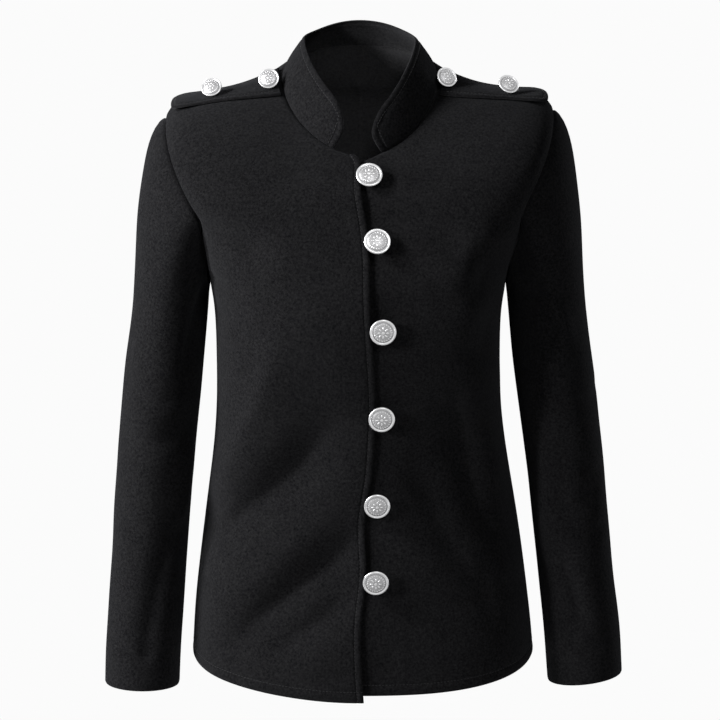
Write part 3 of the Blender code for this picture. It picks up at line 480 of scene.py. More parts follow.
def sleeve_folds(around, p, side, table=SLEEVE_FOLDS):
    """The folds of a sleeve, with its girth laid out flat so that they keep their width."""
    degrees = np.degrees(around) % 360.0
    total = np.zeros_like(degrees)
    for fold_side, turn0, z0, turnm, zm, turn1, z1, *shape in table:
        if fold_side != side:
            continue
        near = (degrees - turnm + 180.0) % 360.0 - 180.0
        across = side * np.radians(near) * SLEEVE_RADIUS
        start, end = (side * math.radians(turn - turnm) * SLEEVE_RADIUS for turn in (turn0, turn1))
        total += fold(across, p[..., 2] / MM, start, z0, 0.0, zm, end, z1, *shape)
    return total[..., None] * MM


def collar(around, h):
    """The collar's outer skin: around is the angle from the centre back, h runs from seam to edge."""
    around, h = np.asarray(around, float), np.asarray(h, float)
    theta, t = math.pi / 2.0 - around, np.full_like(around, NECK)
    right, left = garment(theta, t, right=True)[0], garment(theta, t)[0]
    base = np.where(around[..., None] < 0.0, right, left)
    table = np.array(COLLAR_SECTIONS).T
    knots = np.concatenate([-table[0, :0:-1], table[0]])
    inward, back, up_right, up_left = (
        through(knots, np.concatenate([column[:0:-1], column]), np.degrees(around)) for column in table[1:])
    up = np.where(around < 0.0, up_right, up_left)
    x = -np.sign(around) * inward * smooth(np.abs(around) / 0.05)
    rise = np.stack([x, back, up], axis=-1) * MM
    swell = COLLAR_BULGE * (4.0 * h * (1.0 - h))[..., None]
    outward = np.stack([np.sin(around), np.cos(around), 0.0 * around], axis=-1)
    return base + rise * h[..., None] + outward * swell


def collar_normal(around, h):
    step = 2e-3
    round_it = collar(around + step, h) - collar(around - step, h)
    up_it = collar(around, h + step) - collar(around, h - step)
    return unit(np.cross(up_it, round_it))


def strap_point(side, t, forward):
    """A place on the shoulder: ring number, and distance in front of the shoulder seam."""
    theta0 = np.full_like(t, side_angle(side))
    pace = np.linalg.norm(torso(theta0 + NUDGE, t) - torso(theta0 - NUDGE, t), axis=-1) / (2.0 * NUDGE)
    return garment(theta0 - side * forward / pace, t)


def ripple(p, size, height):
    """The slight unevenness of worn cloth: a few crossing waves."""
    x, y, z = (p[..., i] / MM / size for i in range(3))
    wave = (np.sin(1.1 * x + 0.7 * z + 1.3) + np.sin(0.6 * y - 1.3 * z + 0.4)
            + np.sin(0.9 * x - 0.5 * z - y * 0.8) + 0.6 * np.sin(2.1 * z + 1.7 * y + 0.8 * x))
    return (height * wave / 3.6)[..., None] * MM


def stitched_relief(d, line):
    """A turned edge with topstitching: the stitches draw the cloth in and it puffs on both sides."""
    groove, puffs = (-0.55, line, 0.8), ((0.28, 0.5 * line, 0.3 * line), (0.16, line + 3.0, 1.6))
    return bells(d, *EDGE_RELIEF, groove, *puffs)


def lengths(points):
    """Lengths along a line of points, or along each row of a grid, from its start."""
    step = np.linalg.norm(np.diff(points, axis=-2), axis=-1)
    return np.concatenate([np.zeros_like(step[..., :1]), np.cumsum(step, axis=-1)], axis=-1)


def ticks(total, near, far, count):
    """Places along a length, mm: at the steps of each end, and evenly between them."""
    low, high = np.array(near), total - np.array(far)[::-1]
    return np.concatenate([low[:-1], np.linspace(low[-1], high[0], count), high[1:]])


def shares(line, near, far, count):
    """The same as shares of a line's parameter, which runs from 0 to 1 over its points."""
    run = lengths(line) / MM
    return np.interp(ticks(run[-1], near, far, count), run, np.linspace(0.0, 1.0, len(line)))


def nearest(points, line):
    """Distance, mm, of each point of a grid to a line of points, and the number of its nearest one."""
    flat = points.reshape(-1, 3)
    start, span = line[:-1], np.diff(line, axis=0)
    square = np.maximum(np.sum(span * span, axis=1), 1e-16)
    distance, number = np.empty(len(flat)), np.empty(len(flat), int)
    for at in range(0, len(flat), 2000):
        some = flat[at:at + 2000, None, :] - start[None]
        share = np.clip(np.sum(some * span[None], axis=2) / square, 0.0, 1.0)
        gap = np.linalg.norm(some - share[..., None] * span[None], axis=2)
        best = np.argmin(gap, axis=1)
        distance[at:at + 2000] = gap[np.arange(len(best)), best]
        number[at:at + 2000] = best
    return distance.reshape(points.shape[:-1]) / MM, number.reshape(points.shape[:-1])


def fading(distance):
    """A mitre's share at a distance from its seam."""
    return np.clip(1.0 - distance / MITRE_REACH, 0.0, 1.0)[..., None]


def mitre(own, other, away):
    """How far the inner skin moves at a seam between two walls that meet at an angle."""
    half = np.arccos(np.clip(dot(own, other), -1.0, 1.0)) / 2.0
    return WALL * np.minimum(np.tan(np.minimum(half, 1.3)), 1.0) * away


def skins(point, normal, relief, shift):
    """Outer and inner skin of a piece. shift is what its seams' mitres add to the inner skin."""
    outer = point + normal * (relief * MM)[..., None]
    thin = np.clip(WALL / MM + np.minimum(relief, 0.0) * WALL_THINS, WALL_LEAST, None)
    return outer, outer - normal * (thin * MM)[..., None] + shift


def cloth(name, outer, inner, finish, closed=False, paler=1.0):
    """A wall of cloth through two grids of points, its outer and its inner skin. The last argument is how far
    the inner skin is painted paler: painted light standing in for the light that reaches inside the garment."""
    rows, columns = outer.shape[0] - 1, outer.shape[1] - 1
    bm = bmesh.new()
    bmesh.ops.create_grid(bm, x_segments=columns, y_segments=rows, size=0.5)
    keys = [bm.verts.layers.int.new(key) for key in ("column", "row", "skin")]
    for v in bm.verts:
        v[keys[0]], v[keys[1]] = round((v.co.x + 0.5) * columns), round((v.co.y + 0.5) * rows)
    if closed:
        for v in bm.verts:
            turn = 2.0 * math.pi * v[keys[0]] / columns
            v.co = (math.cos(turn), math.sin(turn), v.co.y)
            v[keys[0]] %= columns
        bmesh.ops.remove_doubles(bm, verts=bm.verts, dist=1e-5)
    made = bmesh.ops.extrude_face_region(bm, geom=bm.faces[:], use_keep_orig=True)
    for v in made["geom"]:
        if isinstance(v, bmesh.types.BMVert):
            v[keys[2]] = 1
    column, row, skin = (np.array([v[key] for v in bm.verts]) for key in keys)
    # Painted light: each inner-skin vertex gets a share by which its colour is painted paler.
    painted_inner_light = bm.verts.layers.float.new("painted_inner_light")
    keys = [bm.verts.layers.int[key] for key in ("column", "row", "skin")]
    for v in bm.verts:
        v[painted_inner_light] = paler * v[keys[2]]
    places = np.where(skin[:, None] == 1, inner[row, column], outer[row, column])
    for v, place in zip(bm.verts, places):
        v.co = place
    thing = finished(name, bm, finish)
    wrap_cloth(thing.data, outer, row, column, closed)
    return thing


def wrap_cloth(mesh, outer, row, column, closed):
    """The cloth's own UV map, in metres along and across the piece."""
    rows, columns = outer.shape[:2]
    run = lengths(outer)
    across = run - run[:, columns // 2][:, None]
    rise = lengths(np.swapaxes(outer, 0, 1)).T
    up = np.broadcast_to(rise[:, columns // 2][:, None], across.shape)
    corner = np.empty(len(mesh.loops), int)
    mesh.loops.foreach_get("vertex_index", corner)
    at_row, at_column = row[corner].reshape(-1, 4), column[corner].reshape(-1, 4)
    if closed:
        over = (at_column.max(axis=1) - at_column.min(axis=1) > columns // 2)[:, None] & (at_column == 0)
        at_column = np.where(over, columns - 1, at_column)
    at_row, at_column = at_row.ravel(), at_column.ravel()
    layer = mesh.uv_layers.new(name="Cloth")
    layer.data.foreach_set("uv", np.stack([across[at_row, at_column], up[at_row, at_column]], axis=1).ravel())


def placed(name, data):
    """A new object in the scene."""
    thing = bpy.data.objects.new(name, data)
    bpy.context.scene.collection.objects.link(thing)
    return thing


def meshed(name, bm, finish):
    """A new object with this mesh and material."""
    mesh = bpy.data.meshes.new(name)
    bm.to_mesh(mesh)
    bm.free()
    mesh.materials.append(finish)
    return placed(name, mesh)


def finished(name, bm, finish, sharp=50.0):
    """A closed piece of the garment, shaded smooth and facing outwards."""
    for layer in list(bm.verts.layers.int.values()):
        bm.verts.layers.int.remove(layer)
    bmesh.ops.recalc_face_normals(bm, faces=bm.faces)
    if bm.calc_volume(signed=True) < 0.0:
        bmesh.ops.reverse_faces(bm, faces=bm.faces)
    thing = meshed(name, bm, finish)
    thing.data.shade_smooth()
    thing.data.set_sharp_from_angle(angle=math.radians(sharp))
    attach(thing, "root")
    return thing


def panel_turn(t):
    """The turn of the armhole at a ring number, 0 or 180 degrees outside the armhole."""
    return np.arccos(np.clip((ARM_RING - t) / ARM_REACH, -1.0, 1.0))


def panel_rings():
    """Ring numbers of a panel's rows: closer at the hem, beside the armhole's ends and at the neck."""
    ring_height, yoke_height, body_rows, arm_rows, yoke_rows = 78.0, 105.0, 78, 46, 22
    below = ticks(UNDERARM * ring_height, HEM_STEPS, SEAM_STEPS, body_rows) / ring_height
    beside = ARM_RING - ARM_REACH * np.cos(np.linspace(0.0, math.pi, arm_rows)[1:-1])
    above = ticks(yoke_height, (0.0, 1.0, 2.5), SEAM_STEPS, yoke_rows) / yoke_height
    return np.concatenate([below, beside, TIP + above * (NECK - TIP)])


def dipped(theta, t):
    """The left front's own ring angle and number: its neckline falls away towards its free edge."""
    past = np.clip(NECK_DIP_FROM - torso(theta, t)[..., 0] / MM, 0.0, None)
    ring = t - NECK_DIP * past**2 / (past + NECK_DIP_EASE) * smooth(t - NECK_DIP_RING)
    lower, upper = (through(RING_KNOTS, RING_COLUMNS[3], at) for at in (ring, t))
    return -np.arccos(np.clip(np.cos(theta) * upper / lower, -1.0, 1.0)), ring


def panel_grid(side, front):
    """Ring numbers of a panel's rows, then ring angle and number of its places: rows from the hem to the
    neck, columns from the side to the centre."""
    t, samples, columns = panel_rings(), 160, 44
    right_front = front and side < 0
    half, shift, square = (through(RING_KNOTS, RING_COLUMNS[i], t) for i in (3, 4, 9))
    start = armhole_loop((1.0 if front else -1.0) * panel_turn(t), side)[0]
    if front:
        x = edge_x(t) / MM - (0.0 if side < 0 else UNDERLAP / MM)
        lean = np.arcsin((x - shift) / (half * (1.0 + square)))
        end = -math.pi / 2.0 + lean if side > 0 else 3.0 * math.pi / 2.0 + lean
    else:
        end = np.full_like(t, math.pi / 2.0)
    theta = start[:, None] + (end - start)[:, None] * np.linspace(0.0, 1.0, samples)
    rows = garment(theta, np.broadcast_to(t[:, None], theta.shape), right=right_front)[0]
    centre_steps = EDGE_STEPS if right_front else PLAIN_STEPS if front else SEAM_STEPS
    u = np.array([shares(row, SEAM_STEPS, centre_steps, columns) for row in rows])
    theta = start[:, None] + (end - start)[:, None] * u
    ring = np.broadcast_to(t[:, None], theta.shape).copy()
    return (t, *(dipped(theta, ring) if front and side > 0 else (theta, ring)))


def panel_skins(side, front):
    """A front or a back: its outer and inner skin and their outward direction."""
    t, theta, ring = panel_grid(side, front)
    right_front = front and side < 0
    point, normal = garment(theta, ring, right=right_front)
    if front:
        near = bells(point[..., 0], (1.0, 0.0, HEM_STEP_WIDE)) * smooth(1.0 - ring)
        point[..., 2] += side * HEM_STEP * near
    lift = (FOLD_DEEPEN * torso_folds(point, TORSO_CREASES) + ripple(point, *PANEL_RIPPLE))[..., 0] / MM
    low, high = t <= UNDERARM + 1e-6, t >= TIP - 1e-6
    beside = (t >= UNDERARM - 1e-6) & (t <= TIP + 1e-6)
    (to_arm, arm_number), (to_neck, neck_number) = nearest(point, point[beside, 0]), nearest(point, point[-1])
    to_hem, to_centre, to_side, to_shoulder = (
        nearest(point, line)[0] for line in (point[0], point[:, -1], point[low, 0], point[high, 0]))
    to_seams = np.minimum.reduce([to_arm, to_neck, to_side, to_shoulder])
    if not front:
        to_seams = np.minimum(to_seams, to_centre)
    calm = 1.0 + bells(np.minimum(to_seams, to_centre), *SEAM_CALM)
    relief = lift * calm + bells(to_seams, *SEAM_RELIEF) + stitched_relief(to_hem, HEM_LINE)
    if right_front:
        relief += stitched_relief(to_centre, EDGE_LINE)
    elif front:
        relief += bells(to_centre, *EDGE_RELIEF)
    turn, own = (1.0 if front else -1.0) * panel_turn(t[beside]), normal[beside, 0]
    arm = sleeve_normal(turn, np.full_like(turn, BESIDE_SEAM), side)
    arm_mitre = mitre(own, arm, unit(np.cross(along_armhole(turn, side), own) * side))
    around, own = (math.pi / 2.0 - theta[-1] + math.pi) % (2.0 * math.pi) - math.pi, normal[-1]
    along = collar(around + NUDGE, 0.0 * around) - collar(around - NUDGE, 0.0 * around)
    stand = collar_normal(around, np.full_like(around, BESIDE_SEAM))
    neck_mitre = mitre(own, stand, unit(np.cross(along, own)))
    neck_mitre *= (np.abs(around) <= math.radians(COLLAR_END[side]))[:, None]
    bend = arm_mitre[arm_number] * fading(to_arm) + neck_mitre[neck_number] * fading(to_neck)
    return (*skins(point, normal, relief, bend), normal)


def sleeve_skins(side):
    """A sleeve: rows from the armhole to the cuff, columns once round from the underarm seam."""
    cap_rows, tube_rows, columns, samples = 26, 90, 84, 80
    turn = ticks(2.0 * math.pi * SLEEVE_RADIUS, SEAM_STEPS, SEAM_STEPS, columns) / SLEEVE_RADIUS
    fine = np.broadcast_to(np.linspace(0.0, 1.0, samples), (len(turn), samples))
    caps = sleeve(np.broadcast_to(turn[:, None], fine.shape), fine, side)
    cap = np.array([shares(line, SEAM_STEPS, (0.0,), cap_rows) for line in caps]).T
    tube_height = SLEEVE_SECTIONS[0][0] - SLEEVE_SECTIONS[-1][0]
    tube = ticks(tube_height, (0.0,), PLAIN_STEPS, tube_rows)[1:] / tube_height
    v = np.concatenate([cap, np.broadcast_to(1.0 + tube[:, None], (len(tube), len(turn)))])
    around = np.broadcast_to(turn, v.shape)
    point, normal = sleeve(around, v, side), sleeve_normal(around, v, side)
    lift = sleeve_folds(around, point, side) + sleeve_folds(around, point, side, SLEEVE_CREASES)
    lift = FOLD_DEEPEN * lift + ripple(point, *SLEEVE_RIPPLE)
    to_cap = nearest(point, point[0])[0]
    cap_number = np.broadcast_to(np.arange(len(turn)), v.shape)
    to_seam = np.minimum(to_cap, nearest(point, point[:, 0])[0])
    to_cuff = nearest(point, point[-1])[0]
    calm = 1.0 + bells(to_seam, *SEAM_CALM)
    relief = lift[..., 0] / MM * calm + bells(to_seam, *SEAM_RELIEF) + bells(to_cuff, *EDGE_RELIEF)
    own = sleeve_normal(turn, np.full_like(turn, BESIDE_SEAM), side)
    away = unit(np.cross(along_armhole(turn, side), own) * -side)
    bend = mitre(own, torso_normal(*armhole_loop(turn, side)), away)[cap_number] * fading(to_cap)
    return (*skins(point, normal, relief, bend), normal)


def collar_skins():
    """The stand collar: rows from the neck seam to the free edge, columns from right to left."""
    rows, columns = 8, 108
    right, left = (math.radians(COLLAR_END[side]) for side in (-1, 1))
    u = ticks((right + left) * COLLAR_RADIUS / MM, EDGE_STEPS, EDGE_STEPS, columns) * MM / COLLAR_RADIUS
    around = -right + u
    full = np.linalg.norm(collar(around, 1.0 + 0.0 * u) - collar(around, 0.0 * u), axis=-1)
    to_end = np.minimum(around + right, left - around) * COLLAR_RADIUS
    inset = np.clip(1.0 - to_end / COLLAR_CORNER, 0.0, 1.0)
    height = full - COLLAR_CORNER * (1.0 - np.sqrt(1.0 - inset**2))
    h = np.array([ticks(tall / MM, SEAM_STEPS, EDGE_STEPS, rows) * MM / wide
                  for tall, wide in zip(height, full)]).T
    nose = np.clip(1.0 - to_end / COLLAR_NOSE_LONG, 0.0, 1.0)**2 * np.sign(around)
    around = around + COLLAR_NOSE / COLLAR_RADIUS * nose * 4.0 * h * (1.0 - h)
    point, normal = collar(around, h), collar_normal(around, h)
    base_normal = torso_normal(math.pi / 2.0 - around[0], np.full_like(around[0], NECK))
    free = np.concatenate([point[:, 0], point[-1], point[::-1, -1]])
    to_edge, to_base = nearest(point, free)[0], nearest(point, point[0])[0]
    relief = bells(to_base, *SEAM_RELIEF) + stitched_relief(to_edge, EDGE_LINE)
    relief += ripple(point, *COLLAR_RIPPLE)[..., 0] / MM
    along = unit(collar(around[0] + NUDGE, h[0]) - collar(around[0] - NUDGE, h[0]))
    base_mitre = mitre(normal[0], base_normal, unit(np.cross(normal[0], along)))
    bend = base_mitre[None] * fading(to_base)
    return (*skins(point, normal, relief, bend), normal)


def strap_skins(side):
    """A shoulder strap: rows from the collar to its free rounded end, columns from front to back."""
    rows, columns = 22, 9
    length = STRAP_LENGTH / MM
    v = ticks(length, (0.0, 2.0), STRAP_STEPS, rows) / length
    to_end = (1.0 - v) * STRAP_LENGTH
    inset = np.clip(1.0 - to_end / STRAP_ROUND, 0.0, 1.0)
    half = STRAP_HALF * (STRAP_TIP + (1.0 - STRAP_TIP) * np.sqrt(1.0 - inset**2))
    width = 2.0 * STRAP_HALF / MM
    u = ticks(width, STRAP_STEPS, STRAP_STEPS, columns) / width
    forward = STRAP_FORWARD + half[:, None] * (1.0 - 2.0 * u)
    t = np.broadcast_to((STRAP_INNER + (STRAP_OUTER - STRAP_INNER) * v)[:, None], forward.shape)
    point, normal = strap_point(side, t, forward)
    free = STRAP_STAND * smooth((v - STRAP_FREE) / (1.0 - STRAP_FREE))[:, None, None]
    lower = point + normal * (STRAP_CLEAR + free)
    upper = lower + normal * STRAP_WALL
    rim = np.concatenate([upper[:, 0], upper[-1], upper[::-1, -1]])
    to_rim = nearest(upper, rim)[0]
    relief = stitched_relief(to_rim, STRAP_LINE) + ripple(point, *STRAP_RIPPLE)[..., 0] / MM
    under = bells(to_rim, *STRAP_UNDER)
    return upper + normal * (relief * MM)[..., None], lower + normal * (under * MM)[..., None], normal


def stitches(name, runs, finish):
    """Topstitching: one small bead of thread for each stitch along lines of points and normals."""
    bm = bmesh.new()
    for line, normal in runs:
        run = lengths(line)
        count = max(int(run[-1] / STITCH_SPACE), 1)
        at = (np.arange(count) + 0.5) * run[-1] / count
        spot, ahead, up = (np.stack([np.interp(at + d, run, values[:, i]) for i in range(3)], axis=-1)
                           for values, d in ((line, 0.0), (line, 0.3 * MM), (normal, 0.0)))
        for place, front, top in zip(spot, ahead, unit(up)):
            forward = Vector(front - place)
            if forward.length < 1e-7:
                continue
            forward.normalize()
            top = Vector(top)
            across = top.cross(forward).normalized()
            turn = Matrix((forward, across, forward.cross(across))).transposed().to_4x4()
            size = Matrix.Diagonal((STITCH / 2.0, STITCH_THICK, STITCH_THICK, 1.0))
            lift = Matrix.Translation(Vector(place) + top * 0.02 * MM)
            bmesh.ops.create_uvsphere(bm, u_segments=6, v_segments=4, radius=1.0, matrix=lift @ turn @ size)
    thing = finished(name, bm, finish)
    return thing


class Reading:
    """What a node gives; + - * on it add Math nodes."""

    def __init__(self, finish, socket):
        self.finish, self.socket = finish, socket

    def math(self, operation, *values):
        return self.finish.node("ShaderNodeMath", {"operation": operation}, dict(enumerate(values)))

    def __add__(self, other):
        return self.math("ADD", self, other)

    def __mul__(self, other):
        return self.math("MULTIPLY", self, other)

    def __sub__(self, other):
        return self.math("SUBTRACT", self, other)

    def __rsub__(self, other):
        return self.math("SUBTRACT", other, self)

    def held(self, low, high):
        return self.math("MINIMUM", self.math("MAXIMUM", self, low), high)


class Shading:
    """A node tree and the one way nodes are added to it."""

    def __init__(self, tree):
        self.tree = tree

    def node(self, kind, settings, sockets, output=0):
        made = self.tree.nodes.new(kind)
        for key, value in settings.items():
            setattr(made, key, value)
        for key, value in sockets.items():
            if isinstance(value, Reading):
                self.tree.links.new(value.socket, made.inputs[key])
            else:
                made.inputs[key].default_value = value
        return Reading(self, made.outputs[output])


class Finish(Shading):
    """A material whose constant values sit on its shader and whose patterns come from nodes."""

    def __init__(self, name, **constants):
        self.material = bpy.data.materials.new(name)
        self.material.use_nodes = True
        super().__init__(self.material.node_tree)
        self.shader = self.tree.nodes["Principled BSDF"]
        for key, value in constants.items():
            self.shader.inputs[key.replace("_", " ")].default_value = value

    def feed(self, socket, reading):
        self.tree.links.new(reading.socket, self.shader.inputs[socket])

    def place(self):
        return self.node("ShaderNodeTexCoord", {}, {}, output=3)

    def noise(self, vector, scale, detail=2.0, roughness=0.5):
        return self.node("ShaderNodeTexNoise", {}, {"Vector": vector, "Scale": scale, "Detail": detail,
                                                    "Roughness": roughness})

    def attribute(self, name):
        return self.node("ShaderNodeAttribute", {"attribute_name": name}, {}, output=2)

    def mixed(self, share, *ends):
        """A mix of two colours or of what two nodes give."""
        ends = [end if isinstance(end, Reading) else (*end, 1.0) for end in ends]
        return self.node("ShaderNodeMix", {"data_type": "RGBA"}, {0: share, 6: ends[0], 7: ends[1]}, output=2)

    def bump(self, height, distance, strength):
        relief = {"Strength": strength, "Distance": distance, "Height": height}
        self.feed("Normal", self.node("ShaderNodeBump", {}, relief))


def crepe_finish():
    """Matt black crepe: crinkled and mottled by its hard-twisted yarn. Its inner skin is painted paler and
    plainer: painted light standing in for the light that reaches inside the garment.
    """
    finish = Finish("black_crepe", Roughness=0.95, Specular_IOR_Level=0.0, Sheen_Weight=0.06,
                    Sheen_Roughness=0.6, Sheen_Tint=(0.8, 0.82, 0.88, 1.0))
    spot = finish.place()
    along = finish.node("ShaderNodeUVMap", {"uv_map": "Cloth"}, {})
    along = finish.node("ShaderNodeVectorMath", {"operation": "MULTIPLY"}, {0: along, 1: (1.0, 0.72, 1.0)})
    crinkle = finish.noise(spot, 430.0, 2.0, 0.6)
    pebble = finish.noise(spot, 1150.0, 2.0, 0.6)
    yarn = finish.node("ShaderNodeTexVoronoi", {}, {"Vector": along, "Scale": 1500.0, "Randomness": 0.75})
    bloom = finish.noise(spot, 42.0, 3.0)
    shade = (crinkle * 1.5 + pebble * 0.8 + bloom * 0.25 + (1.0 - yarn) * 0.2 - 0.93).held(0.0, 1.0)
    outside = finish.mixed(shade, (0.0035, 0.0035, 0.0042), (0.0285, 0.0282, 0.0295))
    # Painted light: the inner skin's colours are paler, standing in for light that reaches inside the
    # garment.
    inside = finish.mixed(shade, (0.048, 0.048, 0.051), (0.096, 0.095, 0.099))
    finish.feed("Base Color", finish.mixed(finish.attribute("painted_inner_light"), outside, inside))
    finish.bump(crinkle * 0.8 + pebble * 0.5 + (1.0 - yarn) * 0.35, 0.00040, 0.9)
    return finish.material


def thread_finish():
    """Black sewing thread, a little brighter than the cloth."""
    finish = Finish("black_thread", Roughness=0.55, Specular_IOR_Level=0.45)
    twist = finish.noise(finish.place(), 2600.0)
    finish.feed("Base Color", finish.mixed(twist, (0.010, 0.010, 0.012), (0.026, 0.026, 0.028)))
    return finish.material


def silver_finish():
    """Silvered metal: satin where it is worn, darker and duller down in the relief."""
    finish = Finish("silvered_metal", Metallic=1.0)
    spot = finish.place()
    fine, broad = finish.noise(spot, 1900.0, 3.0, 0.6), finish.noise(spot, 240.0, 2.0)
    bright = (finish.attribute("worn") * 0.86 + fine * 0.22 + broad * 0.16 - 0.12).held(0.0, 1.0)
    finish.feed("Base Color", finish.mixed(bright, (0.20, 0.20, 0.205), (0.86, 0.86, 0.87)))
    finish.feed("Roughness", 0.52 - bright * 0.22)
    finish.bump(fine, 0.00010, 0.35)
    return finish.material


def button_profile(R):
    """Radius and height of the button's turned front, mm: dome, groove, raised rim and folded edge."""
    outline = (
        (0.0, 4.05), (0.20, 3.98), (0.36, 3.78), (0.50, 3.45), (0.62, 3.00), (0.70, 2.58), (0.745, 2.20),
        (0.775, 1.98), (0.81, 1.98), (0.84, 2.18), (0.865, 2.42), (0.90, 2.52), (0.945, 2.42), (0.98, 2.10),
        (1.0, 1.65), (1.0, 1.15), (0.985, 0.72), (0.94, 0.35), (0.86, 0.12), (0.60, 0.0), (0.22, -0.10),
        (0.0, -0.12))
    return [(share * R, height) for share, height in outline]


def dome_height(profile, r):
    """Height of the front at radius r, mm."""
    return float(np.interp(r, *zip(*profile[:10])))


def bead(bm, spot, size, turn=0.0, across=8, up=5):
    """A small raised oval of the relief, half sunk in the dome. Sizes are in mm."""
    matrix = (Matrix.Translation(Vector(spot) * MM) @ Matrix.Rotation(turn, 4, "Z")
              @ Matrix.Diagonal((*(s * MM for s in size), 1.0)))
    bmesh.ops.create_uvsphere(bm, u_segments=across, v_segments=up, radius=1.0, matrix=matrix)


def wreath(bm, profile, count, r, size, slant=0.0, start=0.0, across=8, up=5):
    """A ring of equal beads on the dome at radius r."""
    for i in range(count):
        turn = start + 2.0 * math.pi * i / count
        spot = (r * math.cos(turn), r * math.sin(turn), dome_height(profile, r) + 0.02)
        bead(bm, spot, size, turn + slant, across, up)


def turned(bm, geom, steps):
    """Turns an outline once round the button's axis."""
    bmesh.ops.spin(bm, geom=geom, cent=(0, 0, 0), axis=(0, 0, 1), angle=2.0 * math.pi, steps=steps,
                   use_merge=True)


def shank_loop(bm):
    """The wire loop under the button's back."""
    before, upright = set(bm.verts), Matrix.Rotation(math.pi / 2.0, 4, "X")
    wire = bmesh.ops.create_circle(bm, segments=8, radius=LOOP_WIRE,
                                   matrix=Matrix.Translation((LOOP, 0.0, 0.0)) @ upright)
    turned(bm, [*wire["verts"], *{edge for v in wire["verts"] for edge in v.link_edges}], 20)
    loop = [v for v in bm.verts if v not in before]
    bmesh.ops.transform(bm, verts=loop, matrix=Matrix.Translation((0.0, 0.0, -0.8 * LOOP)) @ upright)


def button(kind, word, radius, foot, face, stand, finish, threads):
    """A domed shank button in its node's place: turned shell, two rings of oval and round beads about a
    rosette of eight, and a wire shank sewn to the cloth."""
    R = radius / MM
    bm, profile = bmesh.new(), button_profile(R)
    verts = [bm.verts.new((r * MM, 0.0, z * MM)) for r, z in profile]
    turned(bm, verts + [bm.edges.new(pair) for pair in zip(verts, verts[1:])], 72)
    bmesh.ops.remove_doubles(bm, verts=bm.verts, dist=1e-6)
    wreath(bm, profile, 22, 0.625 * R, (0.105 * R, 0.042 * R, 0.36), slant=0.75)
    wreath(bm, profile, 16, 0.49 * R, (0.026 * R, 0.026 * R, 0.22), start=math.pi / 16.0, across=6, up=4)
    wreath(bm, profile, 8, 0.315 * R, (0.135 * R, 0.068 * R, 0.42), across=10, up=6)
    bead(bm, (0.0, 0.0, dome_height(profile, 0.0)), (0.125 * R, 0.125 * R, 0.42), across=12, up=7)
    worn = bm.verts.layers.float.new("worn")
    for v in bm.verts:
        r, z = math.hypot(v.co.x, v.co.y) / MM, v.co.z / MM
        if r > 0.80 * R:
            v[worn] = 1.0 if z > 1.0 else 0.35
        elif z > 0.0:
            above = (z - dome_height(profile, r)) / 0.30
            v[worn] = max(0.0, min(1.0, 0.42 + 0.58 * above - 4.2 * max(0.0, r / R - 0.68)))
    shank_loop(bm)
    to_place = Matrix.Translation(foot + face * stand) @ face.to_track_quat("Z", "Y").to_matrix().to_4x4()
    bmesh.ops.transform(bm, matrix=to_place, verts=bm.verts)
    piece = finished(f"silver_{kind}_{word}", bm, finish, sharp=40.0)
    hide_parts(f"button_{kind}_{word}")
    long = stand - 1.4 * LOOP
    down = Matrix.Translation((0.0, 0.0, -1.4 * LOOP - long / 2.0))
    bmesh.ops.create_cone(threads, cap_ends=True, segments=10, radius1=1.5 * MM, radius2=0.8 * MM, depth=long,
                          matrix=to_place @ down)


def facing(tilt, turn):
    """The direction of a button's face: up from the front by tilt, to the wearer's left by turn."""
    tilt, turn = math.radians(tilt), math.radians(turn)
    return Vector((math.sin(turn) * math.cos(tilt), -math.cos(turn) * math.cos(tilt), math.sin(tilt)))


def front_place(x, z):
    """Ring angle and number, as arrays, of the place on the left front at x, z, mm, in the front view."""
    per_ring, per_radian, tries = 60.0, 150.0, 30
    theta, t = np.array([-math.pi / 2.0]), np.array([5.0])
    for _ in range(tries):
        here = torso(theta, t)[0] / MM
        t, theta = t + (z - here[2]) / per_ring, theta + (x - here[0]) / per_radian
    return theta, t


def make_buttons(silver, thread):
    """The buttons and the threads that hold them."""
    threads = bmesh.new()
    for number, (x, z, tilt, turn, stand) in enumerate(FRONT_BUTTONS, 1):
        foot, face = Vector(garment(*front_place(x, z))[0][0]), facing(tilt, turn)
        button("front", number, FRONT_BUTTON, foot, face, stand * MM, silver, threads)
    for word, side, t, forward, tilt, turn, stand in STRAP_BUTTONS:
        foot, normal = strap_point(side, np.array([t]), np.array([forward * MM]))
        top, face = Vector(foot[0] + normal[0] * (STRAP_CLEAR + STRAP_WALL)), facing(tilt, side * turn)
        button("strap", word, STRAP_BUTTON, top, face, stand * MM, silver, threads)
    finished("button_threads", threads, thread)


def line_of(skins, *at):
    """Points and directions along a line of topstitching at these rows and columns."""
    outer, _, normal = skins
    return tuple(np.concatenate([grid[place] for place in at]) for grid in (outer, normal))


def round_line(skins, number, from_row=2):
    """The line of topstitching up one end, along the free edge and down the other end."""
    last = -1 - number
    up, along, down = np.s_[from_row:last, number], np.s_[last, number:last], np.s_[last:from_row:-1, last]
    return line_of(skins, up, along, down)


def sew(node, skins, runs, rests_on, crepe, thread, **kind):
    """A cloth piece and its topstitching in its node's place."""
    name, slot = node.replace("epaulette", "strap"), node.partition("_")[0]
    outer, inner, _ = skins
    piece = cloth(f"crepe_{name}", outer, inner, crepe, **kind)
    sewing = [stitches(f"stitches_{name}", runs, thread)] if runs else []
    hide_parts(node)


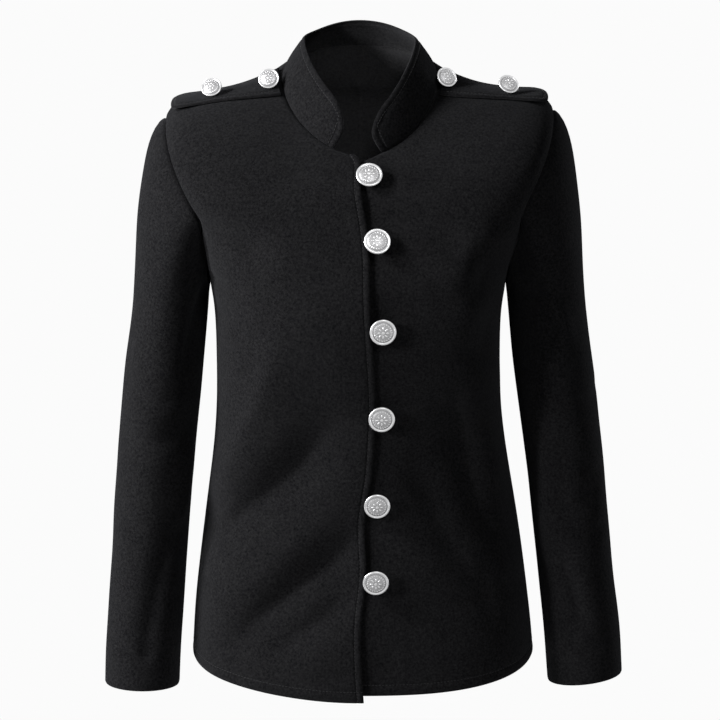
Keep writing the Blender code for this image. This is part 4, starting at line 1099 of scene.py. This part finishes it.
def make_cloth(*finishes):
    """Every cloth piece, seamed to its neighbours."""
    hem, edge, strap = HEM_STEPS.index(HEM_LINE), EDGE_STEPS.index(EDGE_LINE), STRAP_STEPS.index(STRAP_LINE)
    for word, side in (("right", -1), ("left", 1)):
        beside = [f"crepe_sleeve_{word}", "crepe_collar"]
        skins = panel_skins(side, front=True)
        runs = [line_of(skins, np.s_[hem, 2:])]
        if side < 0:
            runs.append(line_of(skins, np.s_[1:, -1 - edge]))
        sew(f"front_{word}", skins, runs, beside, *finishes)
        skins = panel_skins(side, front=False)
        sew(f"back_{word}", skins, [line_of(skins, np.s_[hem, 2:-2])], beside, *finishes)
        panels = [f"crepe_front_{word}", f"crepe_back_{word}"]
        sew(f"sleeve_{word}", sleeve_skins(side), [], panels, *finishes, closed=True)
        skins = strap_skins(side)
        sew(f"epaulette_{word}", skins, [round_line(skins, strap)], panels, *finishes)
    skins = collar_skins()
    below = ["crepe_front_right", "crepe_front_left", "crepe_back_right", "crepe_back_left"]
    # The collar's inside is painted paler, by less than the other pieces: painted light.
    sew("collar", skins, [round_line(skins, edge)], below, *finishes, paler=COLLAR_INNER_LIGHT)


def softbox(name, azimuth, elevation, power):
    """A round lamp that shines at the garment's middle."""
    lamp = bpy.data.lights.new(name, "AREA")
    lamp.shape, lamp.size, lamp.energy = "DISK", LAMP_SIZE, power
    thing = placed(name, lamp)
    across = math.cos(elevation)
    away = Vector((-math.sin(azimuth) * across, -math.cos(azimuth) * across, math.sin(elevation)))
    thing.location = MIDDLE + LAMP_REACH * away
    thing.rotation_euler = away.to_track_quat("Z", "Y").to_euler()


def make_studio():
    """White surroundings that light the cloth very little, the lamps and a pale floor."""
    world = bpy.data.worlds.new("white_studio")
    bpy.context.scene.world = world
    world.use_nodes = True
    room = Shading(world.node_tree)
    seen, mirrored = (room.node("ShaderNodeLightPath", {}, {}, output=number) for number in (0, 3))
    strength = seen * (WHITE - AMBIENT) + mirrored * (REFLECTED - AMBIENT) + AMBIENT
    background = world.node_tree.nodes["Background"]
    background.inputs["Color"].default_value = (1.0, 1.0, 1.0, 1.0)
    world.node_tree.links.new(strength.socket, background.inputs["Strength"])
    for name, azimuth, elevation, power in LAMPS:
        softbox(name, math.radians(azimuth), math.radians(elevation), power)
    bm = bmesh.new()
    bmesh.ops.create_circle(bm, cap_ends=True, segments=96, radius=FLOOR_RADIUS)
    bmesh.ops.translate(bm, verts=bm.verts, vec=(0.0, 0.0, FLOOR_Z))
    pale = Finish("pale_floor", Base_Color=(0.82, 0.82, 0.82, 1.0), Roughness=0.9)
    meshed("floor", bm, pale.material)


def make_camera():
    """The camera a little above the garment's middle, with a long lens."""
    scene, lens = bpy.context.scene, bpy.data.cameras.new("camera")
    lens.lens, lens.sensor_width = LENS, SENSOR
    camera = placed("camera", lens)
    away = Vector((0.0, -math.cos(CAMERA_UP), math.sin(CAMERA_UP)))
    camera.location = MIDDLE + away * CAMERA_REACH
    camera.rotation_euler = (MIDDLE - camera.location).to_track_quat("-Z", "Y").to_euler()
    scene.camera, scene.view_settings.view_transform = camera, "Standard"


make_studio()
make_camera()
make_cloth(crepe_finish(), thread_finish())
make_buttons(silver_finish(), thread_finish())
